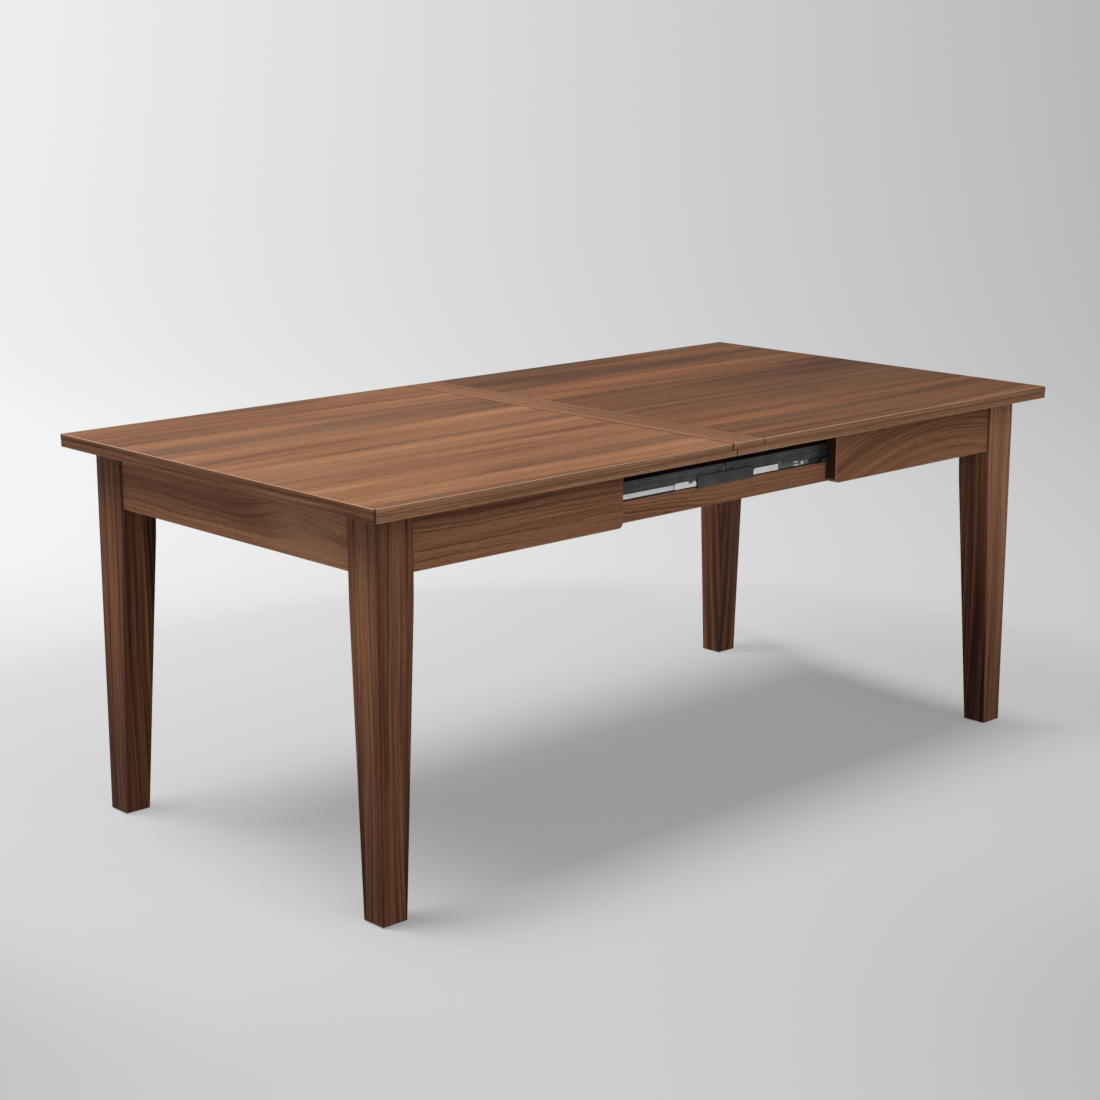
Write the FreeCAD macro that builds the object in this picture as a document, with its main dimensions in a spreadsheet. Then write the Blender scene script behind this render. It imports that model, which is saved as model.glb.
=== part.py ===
import FreeCAD, Part
import math
import os
import re
import Sketcher
from FreeCAD import Rotation, Vector

# Extending dining table: two half tables draw apart on steel slides that ride on a central carriage.
# X runs along the table, the front is at -Y, Z is up from the floor, and the origin is on the floor
# under the middle of the closed table. Millimetres.

doc = FreeCAD.newDocument("extending_table")

# Driving dimensions
SIZES = {
    # Overall and top
    "table_length": 1850,
    "table_width": 950,
    "table_height": 750,
    "panel_thickness": 13,
    "strip_thickness": 12,
    "strip_width": 132,
    "seam_offset": -69,
    "seam_gap": 0.8,
    "band_width": 88,
    "lap_width": 12,
    "seam_strip_width": 62,
    "edge_round": 1.6,
    "shadow_line": 0.9,
    "seam_ease": 1,
    "tongue_width": 30,
    "tongue_thickness": 5,
    "tongue_depth": 15,
    "tongue_reach": 11,
    "tongue_bevel": 3,
    "tongue_spacing": 290,
    "tongue_play": 0.4,
    # Legs
    "end_overhang": 44,
    "side_overhang": 51,
    "leg_size": 79,
    "foot_size": 54,
    "taper_drop": 40,
    "taper_radius": 1800,
    "leg_round": 2,
    "foot_glide_height": 2.5,
    "foot_glide_diameter": 26,
    # Aprons
    "apron_height": 110,
    "apron_thickness": 26,
    "apron_setback": 6,
    "apron_gap": 600,
    "apron_corner": 11,
    "arris": 1.5,
    # Corner blocks and leg bolts
    "block_offset": 144,
    "block_thickness": 28,
    "block_height": 80,
    "block_drop": 14,
    "bolt_diameter": 10,
    "bolt_depth": 38,
    "bolt_play": 0.2,
    "bolt_head_width": 17,
    "bolt_head_height": 6.5,
    # Brackets and battens under the tops
    "bracket_width": 24,
    "bracket_reach": 24,
    "bracket_gauge": 2,
    "batten_offset": 300,
    "batten_width": 60,
    "batten_drop": 28,
    "batten_bevel": 8,
    "batten_play": 4,
    # Carriage
    "slide_travel": 250,
    "bearer_height": 40,
    "bearer_thickness": 28,
    "bearer_play": 2,
    "bearer_end_play": 6,
    "cross_rail_width": 40,
    "cross_rail_height": 35,
    "inner_rail_offset": 190,
    "outer_rail_inset": 50,
    "dust_board_gauge": 4,
    "dust_board_play": 3,
    # Slides
    "slide_gauge": 2,
    "packer_height": 4,
    "packer_width": 16,
    "track_play": 1.5,
    "track_height": 28,
    "track_depth": 15,
    "track_headroom": 4,
    "rail_height": 24,
    "rail_depth": 22,
    "rail_hook": 10,
    "rail_hook_room": 4,
    "rail_groove": 0.8,
    "rail_lip": 6,
    "rail_end_play": 2,
    "pad_length": 60,
    "pad_play": 0.4,
    "stop_length": 156,
    "stop_height": 22,
    "stop_gauge": 2.5,
    "stop_play": 0.6,
    # Lock lever
    "lever_gauge": 2,
    "lever_play": 0.6,
    "lever_height": 8.4,
    "lever_waist": 5,
    "lever_arm": 62,
    "lever_grip": 66,
    "lever_end_play": 9,
    "lever_tab": 12,
    "pawl_width": 10,
    "pawl_rise": 3.6,
    "notch_depth": 5.5,
    "notch_play": 4,
    "pivot_diameter": 6,
    "pivot_head": 8,
    "pivot_play": 0.06,
    # Equaliser
    "gear_module": 2,
    "gear_teeth": 18,
    "gear_face": 9,
    "gear_play": 0.3,
    "gear_bore": 10,
    "bore_play": 0.06,
    "axle_collar": 14,
    "axle_stem": 8,
    "axle_head": 1.5,
    "plate_gauge": 3,
    "plate_width": 70,
    "rack_web": 5,
    "rack_spare_teeth": 2,
    "hanger_width": 24,
    "hanger_foot": 40,
    "hanger_gauge": 3,
    "keeper_offset": 120,
    "keeper_length": 30,
    "keeper_wall": 4,
    "keeper_lip": 4,
    "keeper_play": 0.4,
    # Folded leaf
    "leaf_fold_gap": 4,
    "hinge_spacing": 280,
    "hinge_length": 60,
    "hinge_leaf": 28,
    "hinge_gauge": 1.6,
    "hinge_barrel": 6.4,
    "hinge_pin": 3,
    "hinge_play": 0.3,
}

# Places that follow from the driving dimensions
PLACES = {
    "half_length": "table_length / 2",
    "half_width": "table_width / 2",
    "top_thickness": "panel_thickness + strip_thickness",
    "strip_top": "table_height - panel_thickness",
    "apron_top": "strip_top - strip_thickness",
    "apron_bottom": "apron_top - apron_height",
    "lap_x": "seam_offset + lap_width",
    "band_end": "seam_offset + band_width",
    "leg_outer_x": "half_length - end_overhang",
    "leg_outer_y": "half_width - side_overhang",
    "leg_inner_x": "leg_outer_x - leg_size",
    "leg_inner_y": "leg_outer_y - leg_size",
    "taper_top": "apron_bottom - taper_drop",
    "taper_angle": "atan((leg_size - foot_size) / (taper_top - foot_glide_height))",
    "bend_reach": "taper_radius * tan(taper_angle / 2)",
    "bend_high": "taper_top + bend_reach",
    "bend_low": "taper_top - bend_reach * cos(taper_angle)",
    "bend_shift": "bend_reach * sin(taper_angle)",
    "apron_inner_x": "leg_outer_x - apron_setback - apron_thickness",
    "apron_inner_y": "leg_outer_y - apron_setback - apron_thickness",
    "gap_end": "apron_gap / 2",
    "block_reach": "block_offset + block_thickness * sqrt(2)",
    "block_face": "block_offset / sqrt(2) + block_thickness",
    "block_middle": "apron_top - block_drop - block_height / 2",
    "side_run": "apron_inner_x - block_reach - gap_end",
    "end_run": "apron_inner_y - block_reach",
    "leg_corner": "(leg_size - apron_setback - apron_thickness) * sqrt(2)",
    "bolt_length": "block_face - leg_corner + bolt_depth",
    "bearer_end": "apron_inner_x - block_reach - bearer_end_play",
    "bearer_outer": "apron_inner_y - bearer_play",
    "bearer_inner": "bearer_outer - bearer_thickness",
    "bearer_top": "apron_bottom + bearer_height",
    "cross_rail_top": "apron_bottom + cross_rail_height",
    "track_bottom": "bearer_top + packer_height",
    "track_top": "track_bottom + track_height",
    "track_face": "apron_inner_y - slide_gauge - track_play",
    "rail_top": "track_top + track_headroom + slide_gauge",
    "rail_bottom": "rail_top - rail_height",
    "hook_top": "track_top - slide_gauge - rail_hook_room",
    "rail_inner": "apron_inner_y - rail_depth",
    "lever_top": "rail_bottom - lever_play",
    "lever_middle": "track_face + lever_play + lever_gauge / 2",
    "pivot_x": "gap_end - lever_end_play - lever_grip",
    "pivot_z": "lever_top - lever_height / 2",
    "pawl_x": "pivot_x - lever_arm",
    "batten_bottom": "strip_top - batten_drop",
    "batten_end": "half_width - strip_width - batten_play",
    "pitch_radius": "gear_module * gear_teeth / 2",
    "tooth_rise": "gear_module",
    "tooth_fall": "1.25 * gear_module",
    "tooth_pitch": "gear_module * pi",
    "travel_teeth": "floor(slide_travel / tooth_pitch)",
    "plate_top": "cross_rail_top + plate_gauge",
    "axle_collar_top": "plate_top + slide_gauge / 2",
    "gear_bottom": "axle_collar_top + gear_play",
    "gear_top": "gear_bottom + gear_face",
    "rack_back": "pitch_radius + tooth_fall + rack_web",
    "leaf_half": "table_width / 4",
    "leaf_upper_bottom": "cross_rail_top + top_thickness + leaf_fold_gap",
    "hinge_y": "leaf_half + hinge_barrel / 2 + hinge_play",
    "hinge_z": "cross_rail_top + top_thickness + leaf_fold_gap / 2",
    "equaliser_y": "(hinge_y + hinge_barrel / 2 + bearer_inner) / 2",
}


def tie(text):
    # Give each named value in a formula the sheet that holds it
    def full_name(found):
        word = found.group()
        if word in SIZES:
            return "sizes." + word
        if word in PLACES:
            return "places." + word
        return word
    return re.sub(r"[a-z_]+", full_name, text)


sizes = doc.addObject("Spreadsheet::Sheet", "sizes")
for row, (alias, value) in enumerate(SIZES.items(), 1):
    sizes.set(f"A{row}", alias)
    sizes.set(f"B{row}", str(value))
    sizes.setAlias(f"B{row}", alias)
places = doc.addObject("Spreadsheet::Sheet", "places")
for row, alias in enumerate(PLACES, 1):
    places.set(f"A{row}", alias)
    places.setAlias(f"B{row}", alias)
doc.recompute()
for row, formula in enumerate(PLACES.values(), 1):
    places.set(f"B{row}", "=" + tie(formula))
doc.recompute()

ENDS = {"left": -1, "right": 1}
SIDES = {"front": -1, "back": 1}
NORMALS = {"XY_Plane": "z", "XZ_Plane": "y", "YZ_Plane": "x"}
NEAR = 1e-4
nodes = []


def number(text):
    return float(sizes.evalExpression(tie(text)))


def node(thing, label):
    thing.Label = label
    nodes.append(thing)
    return thing


def place(thing, x="0", y="0", z="0"):
    for axis, text in (("x", x), ("y", y), ("z", z)):
        thing.setExpression("Placement.Base." + axis, tie(text))
    return thing


def slab(name, middle, size):
    box = doc.addObject("Part::Box", name)
    for side, text in zip(("Length", "Width", "Height"), size):
        box.setExpression(side, tie(text))
    return place(box, *(f"{centre} - ({side}) / 2" for centre, side in zip(middle, size)))


def rod(name, diameter, length, start, axis):
    cylinder = doc.addObject("Part::Cylinder", name)
    cylinder.setExpression("Radius", tie(f"({diameter}) / 2"))
    cylinder.setExpression("Height", tie(length))
    cylinder.Placement.Rotation = Rotation(Vector(0, 0, 1), Vector(*axis))
    return place(cylinder, *start)


def cut(name, base, tools):
    carved = doc.addObject("Part::Cut", name)
    carved.Base = base
    carved.Tool = tools[0] if len(tools) == 1 else group(name + "_tools", tools)
    return carved


def fuse(name, pieces):
    joined = doc.addObject("Part::MultiFuse", name)
    joined.Shapes = pieces
    return joined


def group(name, pieces):
    gathered = doc.addObject("Part::Compound", name)
    gathered.Links = pieces
    return gathered


def origin_feature(body, role):
    return next(feature for feature in body.Origin.OriginFeatures if feature.Role == role)


def new_sketch(body, name, role):
    sketch = body.newObject("Sketcher::SketchObject", name)
    sketch.AttachmentSupport = (origin_feature(body, role), "")
    sketch.MapMode = "FlatFace"
    return sketch


def arc_between(start, stop, radius, bulge):
    # Arc of a radius that bulges to the left (1) or right (-1) of the way from start to stop
    chord = stop - start
    half = chord.Length / 2
    rise = radius - math.sqrt(radius ** 2 - half ** 2)
    across = Vector(-chord.y, chord.x, 0).normalize()
    return Part.Arc(start, start + chord / 2 + across * rise * bulge, stop)


def outline(sketch, points):
    # A closed run of lines whose corners are held at formulas of the sheet. A corner that also
    # names a radius and a bulge starts an arc to the next corner
    spots = [Vector(number(point[0]), number(point[1]), 0) for point in points]
    count = len(spots)
    ends = []
    for index, (spot, point) in enumerate(zip(spots, points)):
        following = spots[(index + 1) % count]
        if len(point) == 2:
            sketch.addGeometry(Part.LineSegment(spot, following), False)
        else:
            sketch.addGeometry(arc_between(spot, following, number(point[2]), point[3]), False)
            held = sketch.addConstraint(Sketcher.Constraint("Radius", index, number(point[2])))
            sketch.setExpression(f"Constraints[{held}]", tie(point[2]))
        forwards = sketch.getPoint(index, 1).distanceToPoint(spot) < NEAR
        ends.append((1, 2) if forwards else (2, 1))
    for index in range(count):
        after = (index + 1) % count
        sketch.addConstraint(Sketcher.Constraint("Coincident", index, ends[index][1], after, ends[after][0]))
    for index, point in enumerate(points):
        for direction, text in zip(("DistanceX", "DistanceY"), point):
            held = Sketcher.Constraint(direction, -1, 1, index, ends[index][0], number(text))
            sketch.setExpression(f"Constraints[{sketch.addConstraint(held)}]", tie(text))


def profile(name, role, points, depth, middle):
    # A body padded equally to both sides of its middle plane
    body = doc.addObject("PartDesign::Body", name)
    sketch = new_sketch(body, name + "_outline", role)
    outline(sketch, points)
    pad = body.newObject("PartDesign::Pad", name + "_pad")
    pad.Profile = sketch
    pad.SideType = "Symmetric"
    pad.setExpression("Length", tie(depth))
    body.setExpression("Placement.Base." + NORMALS[role], tie(middle))
    return body


def pocket_through(body, name, role, points):
    doc.recompute()
    before = body.Shape.Volume
    sketch = new_sketch(body, name + "_outline", role)
    outline(sketch, points)
    pocket = body.newObject("PartDesign::Pocket", name)
    pocket.Profile = sketch
    pocket.Type = "ThroughAll"
    pocket.SideType = "Symmetric"
    doc.recompute()
    if body.Shape.Volume > before - NEAR:
        raise RuntimeError(name + " removes nothing")


def soften(body, kind, size, test):
    # Round ("Fillet") or bevel ("Chamfer") the edges of a body that pass the test
    doc.recompute()
    base = body.Tip
    edges = [f"Edge{index}" for index, edge in enumerate(base.Shape.Edges, 1) if test(edge)]
    dressed = body.newObject("PartDesign::" + kind, f"{body.Name}_{kind.lower()}")
    dressed.Base = (base, edges)
    dressed.setExpression("Radius" if kind == "Fillet" else "Size", tie(size))


def at(edge, axis, text):
    value = number(text)
    return all(abs(getattr(corner.Point, axis) - value) < NEAR for corner in edge.Vertexes)


def upright(edge):
    box = edge.BoundBox
    return box.ZLength > max(box.XLength, box.YLength)


def rectangle(low, high):
    return [(low[0], low[1]), (high[0], low[1]), (high[0], high[1]), (low[0], high[1])]


# Tops: a solid panel on a frame of thickening strips, lapped at the seam

def top_board(name, start, stop, outer_end=None, seam=None):
    # A board of the upper layer, softened along its outer edges and eased round its face at the seam
    corners = rectangle((start, "-half_width"), (stop, "half_width"))
    board = profile(name, "XY_Plane", corners, "panel_thickness", "strip_top + panel_thickness / 2")

    def outer(edge):
        long_side = at(edge, "y", "-half_width") or at(edge, "y", "half_width")
        return long_side or (outer_end is not None and at(edge, "x", outer_end))
    soften(board, "Fillet", "edge_round", lambda e: outer(e) and at(e, "z", "panel_thickness / 2"))
    soften(board, "Chamfer", "shadow_line", lambda e: outer(e) and at(e, "z", "-panel_thickness / 2"))
    if seam is not None:
        low = number("shadow_line - panel_thickness / 2") - NEAR
        soften(board, "Chamfer", "seam_ease", lambda e: at(e, "x", seam) and e.BoundBox.ZMin > low)
    return board


def tongues(name, play):
    # Flat tongues across the seam, in the middle of the upper layer, bevelled at the tip
    pieces = []
    for step in (-1, 0, 1):
        low = f"{step} * tongue_spacing - tongue_width / 2 - {play}"
        high = f"{step} * tongue_spacing + tongue_width / 2 + {play}"
        root, tip = "seam_offset + tongue_depth", f"seam_offset - tongue_reach - {play}"
        pieces.append(profile(name, "XY_Plane", [
            (root, low), (root, high), (f"{tip} + tongue_bevel", high), (tip, f"{high} - tongue_bevel"),
            (tip, f"{low} + tongue_bevel"), (f"{tip} + tongue_bevel", low),
        ], f"tongue_thickness + 2 * {play}", "strip_top + panel_thickness / 2"))
    return pieces


left_face, right_face = "seam_offset - seam_gap / 2", "seam_offset + seam_gap / 2"
blank = top_board("panel_left_blank", "-half_length", left_face, "-half_length", left_face)
node(cut("panel_left", blank, tongues("tongue_slot", "tongue_play")), "top_panel_left")
node(top_board("panel_right", "band_end", "half_length", "half_length"), "top_panel_right")
blank = top_board("band_blank", right_face, "band_end", seam=right_face)
node(cut("band", blank, tongues("tongue_mortise", "0")), "top_band")
node(group("tongue_group", tongues("tongue", "0")), "seam_tongues")


def strip(label, points, outer_axis, outer_face):
    # A strip of the lower layer: shadow line above, bevel below, on its outer edge
    board = profile(label, "XY_Plane", points, "strip_thickness", "strip_top - strip_thickness / 2")
    soften(board, "Chamfer", "shadow_line", lambda e: at(e, outer_axis, outer_face))
    return node(board, label)


for end, sx in ENDS.items():
    seam = f"lap_x + {sx} * seam_gap / 2"
    for side, sy in SIDES.items():
        inner = f"{sy} * (half_width - strip_width)"
        strip(f"edge_strip_{side}_{end}", [
            (f"{sx} * half_length", f"{sy} * half_width"),
            (seam, f"{sy} * half_width"),
            (seam, inner),
            (f"{sx} * (half_length - strip_width)", inner),
        ], "y", f"{sy} * half_width")
    strip(f"edge_strip_end_{end}", [
        (f"{sx} * half_length", "-half_width"),
        (f"{sx} * (half_length - strip_width)", "-half_width + strip_width"),
        (f"{sx} * (half_length - strip_width)", "half_width - strip_width"),
        (f"{sx} * half_length", "half_width"),
    ], "x", f"{sx} * half_length")
    back = "lap_x - lap_width - seam_strip_width" if sx < 0 else "band_end + seam_strip_width"
    seam_strip = profile(f"seam_strip_{end}", "XY_Plane", rectangle(
        (back, "-half_width + strip_width"), (seam, "half_width - strip_width")),
        "strip_thickness", "strip_top - strip_thickness / 2")
    node(seam_strip, f"seam_strip_{end}")


# Legs: square at the top, tapered on the two inner faces, with a soft bend where the taper starts

def along_diagonal(sx, sy, distance):
    # A point on the diagonal of a corner, measured inwards from where the aprons' inner faces meet
    inwards = f"({distance}) / sqrt(2)"
    return f"{sx} * (apron_inner_x - {inwards})", f"{sy} * (apron_inner_y - {inwards})"


def corner_rod(name, sx, sy, diameter, start, length):
    return rod(name, diameter, length, (*along_diagonal(sx, sy, start), "block_middle"), (-sx, -sy, 0))


def leg(side, end):
    sx, sy = ENDS[end], SIDES[side]
    label = f"leg_{side}_{end}"
    body = profile(label + "_blank", "XZ_Plane", [
        (f"{sx} * leg_outer_x", "foot_glide_height"),
        (f"{sx} * leg_outer_x", "apron_top"),
        (f"{sx} * leg_inner_x", "apron_top"),
        (f"{sx} * leg_inner_x", "bend_high", "taper_radius", -sx),
        (f"{sx} * (leg_inner_x + bend_shift)", "bend_low"),
        (f"{sx} * (leg_outer_x - foot_size)", "foot_glide_height"),
    ], "leg_size", f"{sy} * (leg_outer_y - leg_size / 2)")
    pocket_through(body, label + "_taper", "YZ_Plane", [
        (f"{sy} * -leg_size / 2", "bend_high", "taper_radius", -sy),
        (f"{sy} * (bend_shift - leg_size / 2)", "bend_low"),
        (f"{sy} * (leg_size / 2 - foot_size)", "foot_glide_height"),
        (f"{sy} * -leg_size", "foot_glide_height"),
        (f"{sy} * -leg_size", "bend_high"),
    ])
    soften(body, "Fillet", "leg_round", upright)
    bore = corner_rod(label + "_bore", sx, sy, "bolt_diameter + bolt_play",
                      "leg_corner - bolt_depth", "bolt_depth * 2")
    return node(cut(label, body, [bore]), label)


for end in ENDS:
    for side in SIDES:
        leg(side, end)
    glides = [
        rod(f"foot_glide_{side}_{end}", "foot_glide_diameter", "foot_glide_height",
            (f"{ENDS[end]} * (leg_outer_x - foot_size / 2)", f"{sy} * (leg_outer_y - foot_size / 2)", "0"),
            (0, 0, 1))
        for side, sy in SIDES.items()
    ]
    node(group(f"foot_glides_{end}_group", glides), f"foot_glides_{end}")


# Aprons: each half has an end apron and two side aprons that stop short of the middle

def side_apron(side, end):
    sx, sy = ENDS[end], SIDES[side]
    label = f"apron_{side}_{end}"
    body = profile(label, "XZ_Plane", rectangle(
        (f"{sx} * gap_end", "apron_bottom"), (f"{sx} * leg_inner_x", "apron_top")),
        "apron_thickness", f"{sy} * (apron_inner_y + apron_thickness / 2)")
    corner = f"{sx} * gap_end"
    soften(body, "Fillet", "apron_corner", lambda e: at(e, "x", corner) and at(e, "z", "apron_bottom"))

    def lower_edge(edge):
        across = edge.BoundBox.YLength < NEAR
        joint = at(edge, "z", "apron_top") or at(edge, "x", f"{sx} * leg_inner_x")
        return across and not joint
    soften(body, "Chamfer", "arris", lower_edge)
    return node(body, label)


def end_apron(end):
    sx = ENDS[end]
    label = f"apron_end_{end}"
    body = profile(label, "YZ_Plane", rectangle(
        ("-leg_inner_y", "apron_bottom"), ("leg_inner_y", "apron_top")),
        "apron_thickness", f"{sx} * (apron_inner_x + apron_thickness / 2)")
    soften(body, "Chamfer", "arris", lambda e: at(e, "z", "apron_bottom") and e.BoundBox.XLength < NEAR)
    return node(body, label)


for end in ENDS:
    end_apron(end)
    for side in SIDES:
        side_apron(side, end)


# Corner blocks across each leg, with the bolt that draws the leg in

def corner_block(side, end):
    sx, sy = ENDS[end], SIDES[side]
    name = f"corner_block_{side}_{end}"
    near_x, near_y = f"{sx} * apron_inner_x", f"{sy} * apron_inner_y"
    body = profile(name + "_blank", "XY_Plane", [
        (f"{sx} * (apron_inner_x - block_offset)", near_y),
        (near_x, f"{sy} * (apron_inner_y - block_offset)"),
        (near_x, f"{sy} * (apron_inner_y - block_reach)"),
        (f"{sx} * (apron_inner_x - block_reach)", near_y),
    ], "block_height", "block_middle")
    bore = corner_rod(name + "_bore", sx, sy, "bolt_diameter + bolt_play",
                      "block_face - block_thickness * 2", "block_thickness * 3")
    return cut(name, body, [bore])


def leg_bolt(side, end):
    # Bolt with a hexagon head against the block's inner face
    sx, sy = ENDS[end], SIDES[side]
    name = f"leg_bolt_{side}_{end}"
    shank = corner_rod(name + "_shank", sx, sy, "bolt_diameter", "leg_corner - bolt_depth", "bolt_length")
    head = doc.addObject("Part::Prism", name + "_head")
    head.Polygon = 6
    head.setExpression("Circumradius", tie("bolt_head_width / sqrt(3)"))
    head.setExpression("Height", tie("bolt_head_height"))
    head.Placement.Rotation = Rotation(Vector(0, 0, 1), Vector(-sx, -sy, 0))
    place(head, *along_diagonal(sx, sy, "block_face"), "block_middle")
    return fuse(name, [shank, head])


for end in ENDS:
    blocks = [corner_block(side, end) for side in SIDES]
    node(group(f"corner_blocks_{end}_group", blocks), f"corner_blocks_{end}")
    bolts = [leg_bolt(side, end) for side in SIDES]
    node(group(f"leg_bolts_{end}_group", bolts), f"leg_bolts_{end}")


# Steel angle brackets that hold the tops down to the aprons

def angle_points(sign, face):
    back, inside = f"{sign} * {face}", f"{sign} * ({face} - bracket_gauge)"
    toe = f"{sign} * ({face} - bracket_reach)"
    return [
        (back, "apron_top"), (toe, "apron_top"), (toe, "apron_top - bracket_gauge"),
        (inside, "apron_top - bracket_gauge"), (inside, "apron_top - bracket_reach"),
        (back, "apron_top - bracket_reach"),
    ]


for end, sx in ENDS.items():
    angles = []
    for side, sy in SIDES.items():
        for share in ("1 / 4", "3 / 4"):
            angles.append(profile(
                f"bracket_{side}_{end}", "YZ_Plane", angle_points(sy, "apron_inner_y"),
                "bracket_width", f"{sx} * (gap_end + side_run * {share})"))
    for share in ("-2 / 3", "0", "2 / 3"):
        angles.append(profile(
            f"bracket_{end}", "XZ_Plane", angle_points(sx, "apron_inner_x"),
            "bracket_width", f"end_run * {share}"))
    node(group(f"top_brackets_{end}_group", angles), f"top_brackets_{end}")
    batten = profile(f"top_batten_{end}", "YZ_Plane", [
        ("-batten_end", "strip_top"),
        ("-batten_end", "batten_bottom + batten_bevel"),
        ("-batten_end + batten_bevel", "batten_bottom"),
        ("batten_end - batten_bevel", "batten_bottom"),
        ("batten_end", "batten_bottom + batten_bevel"),
        ("batten_end", "strip_top"),
    ], "batten_width", f"{sx} * batten_offset")
    node(batten, f"top_batten_{end}")


# Carriage: two bearers, four cross rails and a thin board that closes them from below

for side, sy in SIDES.items():
    bearer = profile(f"bearer_{side}", "YZ_Plane", rectangle(
        (f"{sy} * bearer_inner", "apron_bottom"), (f"{sy} * bearer_outer", "bearer_top")),
        "2 * bearer_end", "0")
    soften(bearer, "Chamfer", "arris", lambda e: e.BoundBox.XLength > NEAR)
    node(bearer, f"bearer_{side}")

for end, sx in ENDS.items():
    for reach, offset in (("inner", "inner_rail_offset"), ("outer", "bearer_end - outer_rail_inset")):
        rail = slab(f"carriage_rail_{reach}_{end}",
                    (f"{sx} * ({offset})", "0", "apron_bottom + cross_rail_height / 2"),
                    ("cross_rail_width", "2 * bearer_inner", "cross_rail_height"))
        node(rail, f"carriage_rail_{reach}_{end}")
board = slab("dust_board", ("0", "0", "apron_bottom - dust_board_gauge / 2"),
             ("2 * (bearer_end - outer_rail_inset) + cross_rail_width",
              "2 * (bearer_inner - dust_board_play)", "dust_board_gauge"))
node(board, "dust_board")


# Slides: a zinc track on each bearer, hooked over by a black rail on each side apron

def track_points(sy):
    face, inside = f"{sy} * track_face", f"{sy} * (track_face - slide_gauge)"
    toe = f"{sy} * (track_face - track_depth)"
    return [
        (face, "track_bottom"), (face, "track_top"), (toe, "track_top"),
        (toe, "track_top - slide_gauge"), (inside, "track_top - slide_gauge"),
        (inside, "track_bottom + slide_gauge"), (toe, "track_bottom + slide_gauge"),
        (toe, "track_bottom"),
    ]


def rail_points(sy):
    face, groove = f"{sy} * apron_inner_y", f"{sy} * (apron_inner_y - rail_groove)"
    web = f"{sy} * (apron_inner_y - slide_gauge)"
    back, inside = f"{sy} * rail_inner", f"{sy} * (rail_inner + slide_gauge)"
    hook = f"{sy} * (rail_inner + rail_hook)"
    return [
        (face, "rail_bottom"), (face, "rail_bottom + rail_lip"),
        (groove, "rail_bottom + rail_lip + rail_groove"), (groove, "rail_top - rail_lip - rail_groove"),
        (face, "rail_top - rail_lip"), (face, "rail_top"), (back, "rail_top"),
        (back, "hook_top - slide_gauge"), (hook, "hook_top - slide_gauge"), (hook, "hook_top"),
        (inside, "hook_top"), (inside, "rail_top - slide_gauge"),
        (web, "rail_top - slide_gauge"), (web, "rail_bottom"),
    ]


def stop_points(sy):
    face = f"{sy} * (apron_inner_y + stop_play)"
    front = f"{sy} * (apron_inner_y + stop_play + stop_gauge)"
    toe = f"{sy} * (track_face - slide_gauge - packer_width)"
    return [
        (front, "bearer_top"), (toe, "bearer_top"), (toe, "track_bottom"), (face, "track_bottom"),
        (face, "bearer_top + stop_height"), (front, "bearer_top + stop_height"),
    ]


stops, packers, track_pads = [], [], []
for side, sy in SIDES.items():
    track = profile(f"slide_track_{side}", "YZ_Plane", track_points(sy), "2 * bearer_end", "0")
    node(track, f"slide_track_{side}")
    stop = profile(f"centre_stop_{side}", "YZ_Plane", stop_points(sy), "stop_length", "0")
    soften(stop, "Fillet", "arris * 2", lambda e: at(e, "z", "bearer_top + stop_height")
           and e.BoundBox.YLength > NEAR)
    stops.append(stop)
    for end, sx in ENDS.items():
        length = "bearer_end - stop_length / 2"
        packers.append(slab(
            f"packer_{side}_{end}",
            (f"{sx} * (bearer_end + stop_length / 2) / 2",
             f"{sy} * (track_face - slide_gauge - packer_width / 2)", "bearer_top + packer_height / 2"),
            (length, "packer_width", "packer_height")))
        for spot in ("slide_travel + pad_length", "bearer_end - pad_length"):
            track_pads.append(slab(
                f"track_pad_{side}_{end}",
                (f"{sx} * ({spot})", f"{sy} * (track_face - track_depth / 2)",
                 "track_top + (track_headroom - pad_play) / 2"),
                ("pad_length", "track_depth - 2 * slide_gauge", "track_headroom - pad_play")))
node(group("centre_stop_group", stops), "centre_stops")
node(group("packer_group", packers), "track_packers")
node(group("track_pad_group", track_pads), "track_pads")

for end, sx in ENDS.items():
    rail_pads = []
    for side, sy in SIDES.items():
        label = f"slide_rail_{side}_{end}"
        rail = profile(label, "YZ_Plane", rail_points(sy), "bearer_end - rail_end_play",
                       f"{sx} * (bearer_end + rail_end_play) / 2")
        if (side, end) == ("front", "right"):
            # Notch that the lock lever's pawl lifts into, measured from the middle of the rail
            middle = "(bearer_end + rail_end_play) / 2"
            reach = "(pawl_width / 2 + notch_play)"
            notch = rectangle((f"pawl_x - {reach} - {middle}", "rail_bottom - notch_play"),
                              (f"pawl_x + {reach} - {middle}", "rail_bottom + notch_depth"))
            pocket_through(rail, label + "_notch", "XZ_Plane", notch)
        node(rail, label)
        rail_pads.append(slab(
            f"rail_pad_{side}_{end}",
            (f"{sx} * (rail_end_play + pad_length)",
             f"{sy} * (rail_inner + (rail_hook + slide_gauge) / 2)",
             "hook_top + (rail_hook_room - pad_play) / 2"),
            ("pad_length", "rail_hook - slide_gauge", "rail_hook_room - pad_play")))
    node(group(f"rail_pads_{end}_group", rail_pads), f"rail_pads_{end}")


# Lock lever in the front gap: its pawl lifts into the notch of the right-hand rail

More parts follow.
